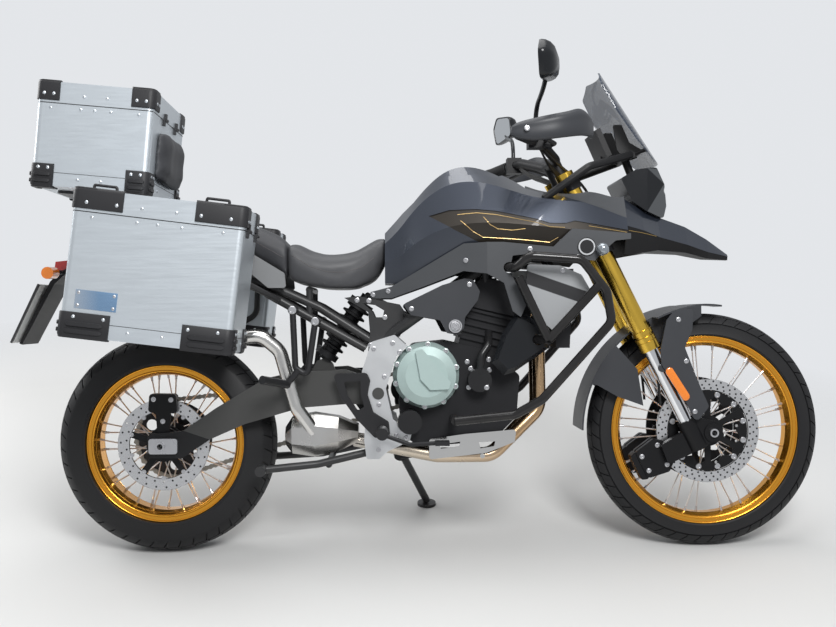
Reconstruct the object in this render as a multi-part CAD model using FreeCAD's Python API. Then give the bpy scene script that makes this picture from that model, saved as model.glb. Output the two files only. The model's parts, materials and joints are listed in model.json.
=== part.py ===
"""Adventure motorcycle with aluminium panniers and a top case, parked on its side stand.

The machine is drawn upright: x forward from the rear axle, y to the rider's left, z up from the
ground. At the end it is leaned over on its side stand and moved so that the origin is at the
middle of its footprint. Lengths are in millimetres and angles in degrees.
"""
import FreeCAD
import Part
import math
import os

# Layout
wheelbase = 1600.0
lean_angle = 13.0
rake_angle = 26.2
axle_lead = 53.0
clamp_offset = 22.0
pivot_x = 625.0
pivot_z = 472.0
gap = 0.3
running_gap = 0.05

# Wheels: radius over the tread, radius of the round crown, rim radius and half width over the flanges
front_tyre_radius = 347.5
front_crown_radius = 46.0
front_rim_radius = 282.0
front_rim_half = 36.0
rear_tyre_radius = 321.0
rear_crown_radius = 75.0
rear_rim_radius = 231.0
rear_rim_half = 60.0
rim_wall = 5.0
spoke_count = 36
spoke_radius = 2.0
spoke_sweep = 38.0
tyre_facets = 96

# Axles and brakes
axle_radius = 12.5
axle_bore_radius = 8.0
front_disc_radius = 152.5
front_disc_width = 32.0
front_disc_y = 64.8
rear_disc_radius = 132.5
rear_disc_y = 82.8
disc_thickness = 5.0
disc_hole_radius = 4.5
sprocket_radius = 112.0
chain_y = 84.0

# Front fork
fork_spread = 105.0
fork_outer_radius = 27.0
fork_inner_radius = 21.5
head_length = 172.0
head_radius = 31.0
stem_radius = 14.0
clamp_thickness = 34.0

# Body widths
swingarm_half = 132.0
engine_half = 120.0
tank_half = 215.0
panel_thickness = 8.0
seat_half = 150.0
bar_radius = 14.0
grip_radius = 16.0
bar_half = 430.0
frame_tube_radius = 17.0
rail_radius = 12.5
crash_bar_radius = 12.7
crash_bar_half = 262.0
rail_y = 108.5
tail_cover_y = 138.0
shroud_y = 204.0
shroud_thickness = 10.0
insert_depth = 2.5
fairing_front = 716.0
spar_foot_y = 104.0

# Cases: length along the bike, width, box height and lid height
case_wall = 3.0
pannier_length = 438.0
pannier_width = 245.0
pannier_box = 318.0
pannier_lid = 56.0
pannier_tilt = 7.0
pannier_inner = 236.0
top_length = 322.0
top_width = 424.0
top_box = 232.0
top_lid = 58.0
top_tilt = 5.0
lid_gap = 0.6
case_corner = 16.0
hinge_reach = 7.0
knuckle_radius = 5.0
guard_size = 58.0
guard_proud = 3.0

# Joint limits in degrees
steer_lock = 35.0
side_stand_travel = 98.0
centre_stand_travel = 80.0
lid_travel = 95.0

X_AXIS = FreeCAD.Vector(1, 0, 0)
Y_AXIS = FreeCAD.Vector(0, 1, 0)
Z_AXIS = FreeCAD.Vector(0, 0, 1)


def point(x, y, z):
    return FreeCAD.Vector(x, y, z)


def rounded_outline(points, radius):
    """A closed wire through 3-D points whose corners are arcs of the given radius."""
    corners = [point(*p) for p in points]
    edges = []
    ends = []
    count = len(corners)
    for i, corner in enumerate(corners):
        back = (corners[i - 1] - corner)
        ahead = (corners[(i + 1) % count] - corner)
        reach_limit = 0.45 * min(back.Length, ahead.Length)
        half_turn = back.getAngle(ahead) / 2
        back.normalize()
        ahead.normalize()
        reach = min(radius / math.tan(half_turn), reach_limit)
        bend = reach * math.tan(half_turn)
        inward = (back + ahead).normalize()
        first = corner + back * reach
        last = corner + ahead * reach
        middle = corner + inward * (bend / math.sin(half_turn) - bend)
        edges.append(Part.Arc(first, middle, last).toShape())
        ends.append((first, last))
    lines = []
    for i in range(count):
        lines.append(edges[i])
        lines.append(Part.LineSegment(ends[i][1], ends[(i + 1) % count][0]).toShape())
    return Part.Wire(lines)


def closed_wire(points):
    corners = [point(*p) for p in points]
    return Part.makePolygon(corners + corners[:1])


def slab(outline, y_low, y_high, radius=0.0):
    """A plate from a side view: outline of (x, z) points between two values of y."""
    points = [(x, y_low, z) for x, z in outline]
    wire = rounded_outline(points, radius) if radius else closed_wire(points)
    return Part.Face(wire).extrude(point(0, y_high - y_low, 0))


def floor_slab(outline, z_low, z_high, radius=0.0):
    """A plate from a plan view: outline of (x, y) points between two heights."""
    points = [(x, y, z_low) for x, y in outline]
    wire = rounded_outline(points, radius) if radius else closed_wire(points)
    return Part.Face(wire).extrude(point(0, 0, z_high - z_low))


def block(x_low, x_high, y_low, y_high, z_low, z_high):
    return Part.makeBox(x_high - x_low, y_high - y_low, z_high - z_low, point(x_low, y_low, z_low))


def rod(start, end, radius):
    start = point(*start)
    end = point(*end)
    return Part.makeCylinder(radius, (end - start).Length, start, end - start)


def cross_rod(x, z, y_low, y_high, radius):
    return Part.makeCylinder(radius, y_high - y_low, point(x, y_low, z), Y_AXIS)


def bent_rod(points, radius, bend):
    """A round bar along straight runs joined by tangent arcs."""
    corners = [point(*p) for p in points]
    edges = []
    start = corners[0]
    for before, corner, after in zip(corners, corners[1:], corners[2:]):
        back = before - corner
        ahead = after - corner
        limit = 0.45 * min(back.Length, ahead.Length)
        half_turn = back.getAngle(ahead) / 2
        back.normalize()
        ahead.normalize()
        reach = min(bend / math.tan(half_turn), limit)
        arc_radius = reach * math.tan(half_turn)
        inward = (back + ahead).normalize()
        middle = corner + inward * (arc_radius / math.sin(half_turn) - arc_radius)
        first = corner + back * reach
        last = corner + ahead * reach
        edges.append(Part.LineSegment(start, first).toShape())
        edges.append(Part.Arc(first, middle, last).toShape())
        start = last
    edges.append(Part.LineSegment(start, corners[-1]).toShape())
    section = Part.Wire(Part.makeCircle(radius, corners[0], corners[1] - corners[0]))
    return Part.Wire(edges).makePipeShell([section], True, False)


def loft(wires, smooth=False):
    return Part.makeLoft(wires, True, not smooth)


def loft_rows(rows, section):
    """A form with straight runs between sections, each drawn from one row of a table."""
    return loft([section(*row) for row in rows])


def shrunk_slab(outline, y_low, y_high, inset):
    """A plate from a side view, drawn in by an inset all round."""
    wire = closed_wire([(x, y_low, z) for x, z in outline])
    return Part.Face(wire).makeOffset2D(-inset).extrude(point(0, y_high - y_low, 0))


def join(shapes):
    """One fused shape; pieces that don't touch stay separate solids in it."""
    shapes = list(shapes)
    if len(shapes) == 1:
        return shapes[0]
    return shapes[0].multiFuse(shapes[1:]).removeSplitter()


def moved(shape, x, y, z):
    result = shape.copy()
    result.translate(point(x, y, z))
    return result


def group(shapes):
    """Separate solids of like pieces."""
    solids = []
    for shape in shapes:
        solids += shape.Solids
    return Part.makeCompound(solids)


def mirrored(shape):
    return shape.mirror(point(0, 0, 0), Y_AXIS)


def both_sides(shape):
    return group([shape, mirrored(shape)])


def turned(shape, base, axis, angle):
    result = shape.copy()
    result.rotate(point(*base), point(*axis), angle)
    return result


def ring(axle, profile):
    """A ring about an axle from a closed profile of (y, radius) points."""
    wire = closed_wire([(axle[0], y, axle[1] + r) for y, r in profile])
    return Part.Face(wire).revolve(point(axle[0], 0, axle[1]), Y_AXIS, 360)


# Where the main points of the layout lie
lean = math.radians(lean_angle)
rake = math.radians(rake_angle)


def axle_height(tyre_radius, crown_radius):
    """Height of an upright axle whose leaned tyre just touches the ground."""
    return tyre_radius - crown_radius + crown_radius / math.cos(lean)


rear_axle = (0.0, axle_height(rear_tyre_radius, rear_crown_radius))
front_axle = (wheelbase, axle_height(front_tyre_radius, front_crown_radius))
steer_up = (-math.sin(rake), math.cos(rake))
steer_ahead = (math.cos(rake), math.sin(rake))
steer_foot = (front_axle[0] - (axle_lead + clamp_offset) * steer_ahead[0],
              front_axle[1] - (axle_lead + clamp_offset) * steer_ahead[1])


def on_steering(ahead, up):
    """The (x, z) of a point given ahead of the steering axis and up along it."""
    return (steer_foot[0] + ahead * steer_ahead[0] + up * steer_up[0],
            steer_foot[1] + ahead * steer_ahead[1] + up * steer_up[1])


head_middle = 728.0
head = on_steering(0, head_middle)
fork_low = 297.0
fork_top = head_middle + head_length / 2 + clamp_thickness + 22.0


def from_head(outline):
    """Side-view points given from the middle of the steering head."""
    return [(head[0] + x, head[1] + z) for x, z in outline]


def from_pivot(outline):
    """Side-view points given ahead of the swingarm pivot, with heights from the ground."""
    return [(pivot_x + x, z) for x, z in outline]


steer_clearance = Part.makeCylinder(
    math.hypot(fork_spread, clamp_offset) + fork_outer_radius + 10.0, 824.0,
    point(on_steering(0, fork_low)[0], 0, on_steering(0, fork_low)[1]),
    point(steer_up[0], 0, steer_up[1]))


def faceted_ring(axle, profile, count):
    """A ring of flat facets about an axle, with one row of corners straight below it."""
    rows = []
    for i in range(count):
        angle = 2 * math.pi * i / count - math.pi / 2
        rows.append([point(axle[0] + r * math.cos(angle), y, axle[1] + r * math.sin(angle))
                     for y, r in profile])
    faces = []
    for first, second in zip(rows, rows[1:] + rows[:1]):
        for k in range(len(profile)):
            faces.append(Part.Face(closed_wire([first[k - 1], first[k], second[k], second[k - 1]])))
    shell = Part.makeShell(faces)
    shell.sewShape()
    return Part.makeSolid(shell)


# Wheels
def tyre(axle, outer, crown, rim):
    """A tyre seated on the rim's flanges, with one crown facet ending where the leaned tyre touches down."""
    middle = outer - crown
    bottom = rim + gap
    side_angle = math.degrees(math.acos((bottom - middle) / crown))
    half = [(crown * math.sin(math.radians(a)), middle + crown * math.cos(math.radians(a)))
            for a in (lean_angle, 34.0, 56.0, 78.0, side_angle)]
    return faceted_ring(axle, half + [(-y, r) for y, r in reversed(half)], tyre_facets)


def rim_ring(axle, rim, half):
    outside = [(half, rim), (half - rim_wall, rim), (half - rim_wall, rim - 14.0),
               (0.45 * half, rim - 15.0), (0.35 * half, rim - 24.0)]
    inside = [(0.35 * half + 3.0, rim - 31.0), (half - 1.0, rim - 21.0)]
    right = outside + [(-y, r) for y, r in reversed(outside)]
    under = [(-y, r) for y, r in reversed(inside)] + inside
    return ring(axle, right + under)


def spoked_hub(axle, profile, rim, seat_y, seat_radius, rim_y):
    """A turned hub with crossed spokes to the inside of the rim."""
    hub = ring(axle, profile)
    spokes = []
    tip_radius = rim - 31.0 - 0.6
    for i in range(spoke_count):
        side = 1 if i % 2 else -1
        turn = 360.0 * i / spoke_count
        sweep = spoke_sweep if (i // 2) % 2 else -spoke_sweep
        root = (turn + 2.0, seat_radius - 4.0, side * seat_y)
        tip = (turn + sweep * 0.6, tip_radius, side * rim_y)
        ends = []
        for angle, radius, y in (root, tip):
            a = math.radians(angle)
            ends.append(point(axle[0] + radius * math.cos(a), y, axle[1] + radius * math.sin(a)))
        run = ends[1] - ends[0]
        across = run.cross(Y_AXIS).normalize() * spoke_radius
        along = run.cross(across).normalize() * spoke_radius
        square = [ends[0] + across, ends[0] + along, ends[0] - across, ends[0] - along]
        spokes.append(Part.Face(Part.makePolygon(square + square[:1])).extrude(run))
    return join([hub] + spokes)


def disc(axle, radius, width, y, hub_radius, arms):
    """A brake disc ring on a carrier with arms."""
    low = y - disc_thickness / 2
    rotor = cross_rod(axle[0], axle[1], low, low + disc_thickness, radius)
    rotor = rotor.cut(cross_rod(axle[0], axle[1], low - 1, low + disc_thickness + 1, radius - width))
    carrier = cross_rod(axle[0], axle[1], low, low + disc_thickness, hub_radius + 16.0)
    carrier = carrier.cut(cross_rod(axle[0], axle[1], low - 1, low + disc_thickness + 1, hub_radius))
    pieces = [rotor, carrier]
    holes = []
    for i in range(arms):
        arm = block(axle[0] - 9, axle[0] + 9, low, low + disc_thickness,
                    axle[1] + hub_radius + 8, axle[1] + radius - width + 3)
        pieces.append(turned(arm, (axle[0], 0, axle[1]), (0, 1, 0), 360.0 * i / arms))
        for k, share in enumerate((0.28, 0.72, 0.5)):
            hole = cross_rod(axle[0], axle[1] + radius - width * share, low - 1, low + disc_thickness + 1,
                             disc_hole_radius)
            turn = (i + (k + 0.5) / 3) * 360.0 / arms
            holes.append(turned(hole, (axle[0], 0, axle[1]), (0, 1, 0), turn))
    return join(pieces).cut(join(holes))


front_hub_half = 62.0
rear_hub_half = 80.0


def hub_profile(half, flange_y, flange_radius, barrel, seat_radius):
    bore = axle_radius + running_gap
    right = [(half, bore), (half, seat_radius), (half - 10, seat_radius), (half - 12, barrel),
             (flange_y + 5, barrel), (flange_y + 4, flange_radius), (flange_y - 4, flange_radius),
             (flange_y - 5, barrel)]
    left = [(-y, r) for y, r in reversed(right)]
    return right + left


def front_wheel_parts():
    profile = hub_profile(front_hub_half, 34.0, 40.0, 24.0, 42.0)
    discs = disc(front_axle, front_disc_radius, front_disc_width, front_disc_y, 30.0, 6)
    return {
        "front_tyre": tyre(front_axle, front_tyre_radius, front_crown_radius, front_rim_radius),
        "front_rim": rim_ring(front_axle, front_rim_radius, front_rim_half),
        "front_hub": spoked_hub(front_axle, profile, front_rim_radius, 34.0, 40.0, 16.0),
        "front_discs": both_sides(discs),
    }


def rear_wheel_parts():
    profile = hub_profile(rear_hub_half, 44.0, 52.0, 32.0, 50.0)
    low = rear_hub_half
    sprocket = cross_rod(rear_axle[0], rear_axle[1], low, low + 7.0, sprocket_radius)
    window = [cross_rod(rear_axle[0], rear_axle[1] + 82.0, low - 1, low + 8, 17.0)]
    window = [turned(window[0], (0, 0, rear_axle[1]), (0, 1, 0), 60.0 * i) for i in range(6)]
    sprocket = sprocket.cut(join(window + [cross_rod(rear_axle[0], rear_axle[1], low - 1, low + 8, 30.0)]))
    hub = spoked_hub(rear_axle, profile, rear_rim_radius, 44.0, 52.0, 24.0)
    return {
        "rear_tyre": tyre(rear_axle, rear_tyre_radius, rear_crown_radius, rear_rim_radius),
        "rear_rim": rim_ring(rear_axle, rear_rim_radius, rear_rim_half),
        "rear_hub": join([hub, sprocket]),
        "rear_disc": disc(rear_axle, rear_disc_radius, 34.0, -rear_disc_y, 34.0, 5),
    }


# Front fork and steering
def steering_parts():
    parts = {}
    low_clamp = head_middle - head_length / 2 - gap
    high_clamp = head_middle + head_length / 2 + gap

    def clamp(up_low, up_high):
        outline = [(-28, -34), (-20, -92), (clamp_offset - 6, -fork_spread - 36),
                   (clamp_offset + 32, -fork_spread - 20), (clamp_offset + 34, -fork_spread + 30),
                   (34, -38)]
        outline = outline + [(x, -y) for x, y in reversed(outline)]
        plate = floor_slab(outline, up_low, up_high, 12.0)
        for side in (-1, 1):
            plate = plate.cut(Part.makeCylinder(fork_outer_radius + 0.02, up_high - up_low + 2,
                                                point(clamp_offset, side * fork_spread, up_low - 1)))
        return plate

    stem = Part.makeCylinder(stem_radius, high_clamp - low_clamp + 4, point(0, 0, low_clamp - 2))
    clamps = join([clamp(low_clamp - clamp_thickness, low_clamp), stem,
                   clamp(high_clamp, high_clamp + clamp_thickness * 0.7)])
    parts["triple_clamps"] = upright_to_steering(clamps)
    legs = []
    for side in (-1, 1):
        base = point(clamp_offset, side * fork_spread, fork_low)
        tube = Part.makeCylinder(fork_outer_radius, fork_top - fork_low, base)
        cuff = Part.makeCylinder(fork_outer_radius + 3, 26, base)
        legs.append(join([tube, cuff]))
    parts["fork_tubes"] = upright_to_steering(group(legs))
    lowers = []
    calipers = []
    for side in (-1, 1):
        tube = Part.makeCylinder(fork_inner_radius, fork_low - 40 - gap,
                                 point(clamp_offset, side * fork_spread, 40))
        foot = Part.makeCylinder(27, 92, point(clamp_offset, side * fork_spread, -26))
        arm = slab([(clamp_offset - 10, -24), (clamp_offset + axle_lead + 26, -26),
                    (clamp_offset + axle_lead + 26, 22), (clamp_offset + 18, 74),
                    (clamp_offset - 10, 74)], side * fork_spread - 17, side * fork_spread + 17, 10.0)
        boss = cross_rod(clamp_offset + axle_lead, 0, side * fork_spread - 22, side * fork_spread + 22, 27)
        lug = slab([(clamp_offset - 104, -26), (clamp_offset, -30), (clamp_offset, 40),
                    (clamp_offset - 98, 34)],
                   *sorted((side * (front_disc_y + 24 + gap), side * (fork_spread + 6))), 8.0)
        bore = cross_rod(clamp_offset + axle_lead, 0, -200, 200, axle_radius + 0.02)
        lowers.append(join([tube, foot, arm, boss, lug]).cut(bore))
        middle = side * front_disc_y
        body = slab([(-150, -42), (-84, -52), (-58, -30), (-58, 36), (-84, 56), (-150, 44)],
                    middle - 22 if side > 0 else middle - 24, middle + 24 if side > 0 else middle + 22,
                    12.0)
        slot = slab([(-170, -80), (20, -80), (20, 80), (-170, 80)], middle - 6, middle + 6)
        bridge = slab([(-168, -38), (-146, -46), (-146, 46), (-168, 38)], middle - 20, middle + 20, 6.0)
        calipers.append(join([body.cut(slot), bridge]))
    parts["fork_lowers"] = upright_to_steering(group(lowers))
    parts["front_calipers"] = upright_to_steering(group(calipers))
    inner = fork_spread - 22
    axle = cross_rod(front_axle[0], front_axle[1], -fork_spread - 30, fork_spread + 30, axle_radius)
    collar = cross_rod(front_axle[0], front_axle[1], front_hub_half + gap, inner - gap, 18.0)
    axle = join([axle, collar, mirrored(collar)])
    axle = axle.cut(cross_rod(front_axle[0], front_axle[1], -300, 300, axle_bore_radius))
    parts["front_axle"] = axle
    parts["handlebar"] = handlebar()
    parts["handguards"] = handguards()
    parts["mirrors"] = mirrors()
    parts["front_fender"] = front_fender()
    return parts


def upright_to_steering(shape):
    """Lay a shape drawn about a vertical steering axis back by the rake."""
    result = shape.copy()
    result.rotate(point(0, 0, 0), Y_AXIS, -rake_angle)
    result.translate(point(steer_foot[0], 0, steer_foot[1]))
    return result


def handlebar():
    mount_ahead, mount_up = 24.0, head_middle + 188.0
    riser_foot = on_steering(mount_ahead, high_clamp_top() + gap)
    riser_head = on_steering(mount_ahead, mount_up)
    bar = bent_rod([(head[0] - 214, -bar_half, head[1] + 202), (head[0] - 126, -206, head[1] + 214),
                    (riser_head[0], -88, riser_head[1]), (riser_head[0], 88, riser_head[1]),
                    (head[0] - 126, 206, head[1] + 214), (head[0] - 214, bar_half, head[1] + 202)],
                   bar_radius, 60.0)
    pieces = [bar]
    for side in (-1, 1):
        pieces.append(rod((riser_foot[0], side * 52, riser_foot[1]),
                          (riser_head[0], side * 52, riser_head[1]), 17.0))
        pieces.append(rod((head[0] - 158, side * 290, head[1] + 210),
                          (head[0] - 212, side * 424, head[1] + 202.3), grip_radius + 2))
        pieces.append(block(head[0] - 168, head[0] - 122, min(side * 236, side * 282),
                            max(side * 236, side * 282), head[1] + 186, head[1] + 236))
        lever = bent_rod([(head[0] - 100, side * 226, head[1] + 200), (head[0] - 92, side * 262, head[1] + 200),
                          (head[0] - 138, side * 404, head[1] + 190)], 6.0, 30.0)
        perch = rod((head[0] - 132, side * 226, head[1] + 208), (head[0] - 96, side * 236, head[1] + 200), 11)
        pieces.append(join([lever, perch]))
    return join(pieces)


def high_clamp_top():
    return head_middle + head_length / 2 + gap + clamp_thickness * 0.7


def handguards():
    """A curved shield round each hand, held at the bar's end."""
    guards = []
    for side in (-1, 1):
        plan = [(head[0] - 228, 446), (head[0] - 120, 466), (head[0] - 32, 420), (head[0] + 2, 320),
                (head[0] - 6, 300), (head[0] - 16, 312), (head[0] - 44, 408), (head[0] - 122, 452),
                (head[0] - 228, 434)]
        plan = [(x, side * y) for x, y in plan]
        shell = floor_slab(plan, head[1] + 165, head[1] + 275)
        profile = slab(from_head([(-240, 186), (-180, 170), (-60, 192), (10, 200), (14, 236),
                                  (-20, 250), (-50, 274), (-84, 252), (-200, 234), (-240, 218)]),
                       -600, 600)
        shell = shell.common(profile)
        bar_end = point(head[0] - 214, side * bar_half, head[1] + 202)
        run = (bar_end - point(head[0] - 126, side * 206, head[1] + 214)).normalize()
        stub = Part.makeCylinder(bar_radius, 12, bar_end + run * gap, run)
        guards.append(join([shell, stub]))
    return group(guards)


def mirrors():
    pieces = []
    for side in (-1, 1):
        stem = bent_rod([(head[0] - 146, side * 262, head[1] + 236 + gap),
                         (head[0] - 146, side * 262, head[1] + 292),
                         (head[0] - 144, side * 400, head[1] + 320),
                         (head[0] - 146, side * 478, head[1] + 362)], 6.0, 30.0)
        x = head[0] - 150
        z = head[1] + 371
        front = closed_wire([(x + 30, side * (486 + y), z + h) for y, h in
                             ((-44, -22), (34, -34), (52, 6), (30, 28), (-36, 18))])
        back = closed_wire([(x - 8, side * (486 + y), z + h) for y, h in
                            ((-82, -34), (56, -50), (84, 12), (52, 50), (-66, 34))])
        head_shell = turned(loft([front, back]), (x, side * 486, z), (0, 0, 1), side * 16.0)
        pieces.append(join([stem, head_shell]))
    return group(pieces)


def front_fender():
    """A fender over the tyre with side skirts, a flap behind and a leg cover on each fork leg."""
    cx, cz = front_axle
    inner = front_tyre_radius + 24.0
    outer = inner + 5.0
    half = 78.0

    def arch(y_low, y_high, inside):
        hoop = cross_rod(cx, cz, y_low, y_high, outer)
        return hoop.cut(cross_rod(cx, cz, y_low - 1, y_high + 1, inside))

    wedge = slab([(cx, cz), (cx + 30, cz + 200), (cx + 66, cz + 460), (cx - 300, cz + 700),
                  (cx - 700, cz + 300), (cx - 700, cz + 10)], -90, 90)
    tip = floor_slab([(cx - 500, -half), (cx - 40, -half), (cx + 70, -34), (cx + 70, 34), (cx - 40, half),
                      (cx - 500, half)], cz - 50, cz + 500)
    pieces = [arch(-half, half, inner).common(wedge).common(tip)]
    front_skirt = [(cx - 20, cz + 500), (cx - 20, cz + 340), (cx - 58, cz + 312), (cx - 82, cz + 282),
                   (cx - 150, cz + 262), (cx - 250, cz + 500)]
    rear_skirt = [(cx - 262, cz + 420), (cx - 281, cz + 262), (cx - 211, cz + 184), (cx - 194, cz + 76),
                  (cx - 271, cz + 104), (cx - 330, cz + 138), (cx - 420, cz + 150)]
    disc_of_arch = cross_rod(cx, cz, -half, half, outer)
    for side in (-1, 1):
        low, high = sorted((side * (half - 5), side * half))
        for skirt in (front_skirt, rear_skirt):
            pieces.append(slab(skirt, low, high).common(disc_of_arch))
        cover_y = fork_spread + fork_outer_radius + 5.0
        low, high = sorted((side * cover_y, side * (cover_y + 6)))
        plate = slab([(cx - 118, cz + 358), (cx - 141, cz + 328), (cx - 159, cz + 242), (cx - 154, cz + 196),
                      (cx - 102, cz + 126), (cx - 56, cz + 30), (cx - 18, cz + 78), (cx - 49, cz + 148),
                      (cx - 88, cz + 250), (cx - 66, cz + 300), (cx - 62, cz + 364)], low, high, 12.0)
        web = arch(*sorted((side * (half - 2), side * (cover_y + 6))), inner)
        web = web.common(slab([(cx, cz), (cx - 66, cz + 450), (cx - 224, cz + 450)], -200, 200))
        boss_x, boss_z = on_steering(clamp_offset, fork_low - 60)
        boss = cross_rod(boss_x, boss_z, *sorted((side * (fork_spread + fork_inner_radius + gap),
                                                  side * (cover_y + 1))), 11.0)
        pieces += [plate, web, boss]
    return join(pieces)


# Frame, engine and running gear
shock_top = (pivot_x - 34.0, 0.0, 756.0)


def frame_tubes(extra):
    """The main spars and braces, made thicker by an extra where something must clear them."""
    hx, hz = head
    radius = frame_tube_radius + extra
    tubes = []
    for side in (-1, 1):
        tubes.append(bent_rod([(hx - 22, side * 12, hz + 20), (hx - 130, side * 92, hz - 22),
                               (pivot_x + 120, side * 143, 700), (pivot_x + 20, side * spar_foot_y, 628)],
                              radius, 60.0))
        tubes.append(rod((hx - 6, side * 10, hz - 52), (pivot_x + 330, side * 116, 816), radius - 4))
        tubes.append(rod((pivot_x + 100, side * 134, 686), shock_top, radius - 7))
    return tubes


def main_frame():
    head_tube = Part.makeCylinder(head_radius, head_length, point(0, 0, head_middle - head_length / 2))
    head_tube = head_tube.cut(Part.makeCylinder(stem_radius + running_gap, head_length + 2,
                                                point(0, 0, head_middle - head_length / 2 - 1)))
    cross = cross_rod(pivot_x + 50, 650, -spar_foot_y, spar_foot_y, frame_tube_radius - 2)
    stem_bore = upright_to_steering(Part.makeCylinder(stem_radius + running_gap, head_length + 60,
                                    point(0, 0, head_middle - head_length / 2 - 30)))
    lugs = [rod((pivot_x + 312, side * 108, 790), (pivot_x + 312, side * 114, 842), 12.0) for side in (-1, 1)]
    lugs = join(lugs).cut(moved(engine_head(), 0, 0, gap))
    frame = join([upright_to_steering(head_tube), lugs, cross] + frame_tubes(0.0))
    return frame.cut(stem_bore)


clutch_centre = (pivot_x + 138.0, 523.0)
filter_centre = (pivot_x + 90.0, 392.0)
plate_inner = spar_foot_y + frame_tube_radius + gap
plate_outer = plate_inner + 28.0


def pivot_plates():
    """Cast plates that carry the swingarm pivot, with an ear for the centre stand below."""
    outline = from_pivot([(-18, 620), (48, 640), (92, 600), (54, 580), (22, 486), (34, 431), (42, 398),
                          (96, 360), (90, 336), (24, 304), (2, 284), (-34, 284), (-41, 340), (-26, 505),
                          (-47, 534)])
    plate = slab(outline, -plate_outer, -plate_inner, 6.0)
    for x, z, radius in ((pivot_x, pivot_z, 17.0), (clutch_centre[0], clutch_centre[1], 99.0),
                         (filter_centre[0], filter_centre[1], 37.0)):
        plate = plate.cut(cross_rod(x, z, -plate_outer - 1, -plate_inner + 1, radius))
    plate = plate.cut(join(frame_tubes(gap)))
    pin_x, pin_z = centre_stand_pivot
    return both_sides(join([plate, cross_rod(pin_x, pin_z, -plate_outer, -plate_inner + 22, 8.0)]))


chain_front = (pivot_x + 78.0, pivot_z - 2.0)
front_sprocket_radius = 42.0
sprocket_gap = 0.4


def chain_tangents(radius_rear, radius_front):
    """The angles at which the upper and lower runs leave both sprockets."""
    ax, az = rear_axle
    distance = math.hypot(chain_front[0] - ax, chain_front[1] - az)
    slope = math.atan2(chain_front[1] - az, chain_front[0] - ax)
    turn = math.acos((radius_rear - radius_front) / distance)
    return slope + turn, slope - turn


def chain_run(half_height):
    """A band along the chain's upper run, as a side-view outline."""
    upper, lower = chain_tangents(sprocket_radius, front_sprocket_radius)
    ends = []
    for centre, radius in ((rear_axle, sprocket_radius), (chain_front, front_sprocket_radius)):
        ends.append((centre[0] + radius * math.cos(upper), centre[1] + radius * math.sin(upper)))
    rear, front = ends
    return [(rear[0], rear[1] - half_height), (front[0], front[1] - half_height),
            (front[0], front[1] + half_height), (rear[0], rear[1] + half_height)]


def swingarm():
    ax, az = rear_axle
    outer = [(ax - 40, az + 34), (ax + 60, az + 42), (ax + 157, 431), (ax + 280, 504), (ax + 423, 534),
             (pivot_x - 96, 540), (pivot_x + 6, pivot_z + 34), (pivot_x + 34, pivot_z),
             (pivot_x + 6, pivot_z - 34), (pivot_x - 90, 440), (ax + 400, 430), (ax + 239, 384),
             (ax + 138, 340), (ax + 60, az - 36), (ax - 40, az - 34)]
    arm = slab(outer, -swingarm_half + 14, -98, 14.0)
    arm = arm.cut(slab([(ax - 26, az - 13), (ax + 40, az - 13), (ax + 40, az + 13), (ax - 26, az + 13)],
                       -160, -80))
    bridge = slab([(ax + 385, 520), (pivot_x - 110, 528), (pivot_x - 100, 450), (ax + 395, 442)], -104, 104,
                  12.0)
    bridge = bridge.cut(slab(chain_run(24.0), chain_y - 16, chain_y + 12))
    pivot_tube = cross_rod(pivot_x, pivot_z, -swingarm_half + 14, swingarm_half - 14, 21)
    bolt = cross_rod(pivot_x, pivot_z, -plate_outer - 3, plate_outer + 3, 17.0 - running_gap)
    return join([arm, mirrored(arm), bridge, pivot_tube, bolt, shock_lug()])


def shock_lug():
    ax = rear_axle[0]
    return slab([(ax + 420, 520), (ax + 440, 560), (ax + 470, 572), (ax + 488, 552), (ax + 500, 520)],
                -16, 16, 4.0)


def rear_axle_parts():
    ax, az = rear_axle
    shaft = cross_rod(ax, az, -swingarm_half - 6, swingarm_half + 6, axle_radius)
    inner = 98.0
    collar_right = cross_rod(ax, az, -inner + gap, -rear_hub_half - gap, 20.0)
    collar_left = cross_rod(ax, az, rear_hub_half + 7.0 + gap, inner - gap, 20.0)
    plates = []
    for side in (-1, 1):
        low, high = sorted((side * (swingarm_half - 14 + gap), side * (swingarm_half - 2)))
        plates.append(slab([(ax - 34, az - 22), (ax + 48, az - 22), (ax + 48, az + 22), (ax - 34, az + 22)],
                           low, high, 8.0))
    axle = join([shaft, collar_right, collar_left] + plates)
    return axle.cut(cross_rod(ax, az, -300, 300, axle_bore_radius))


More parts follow.
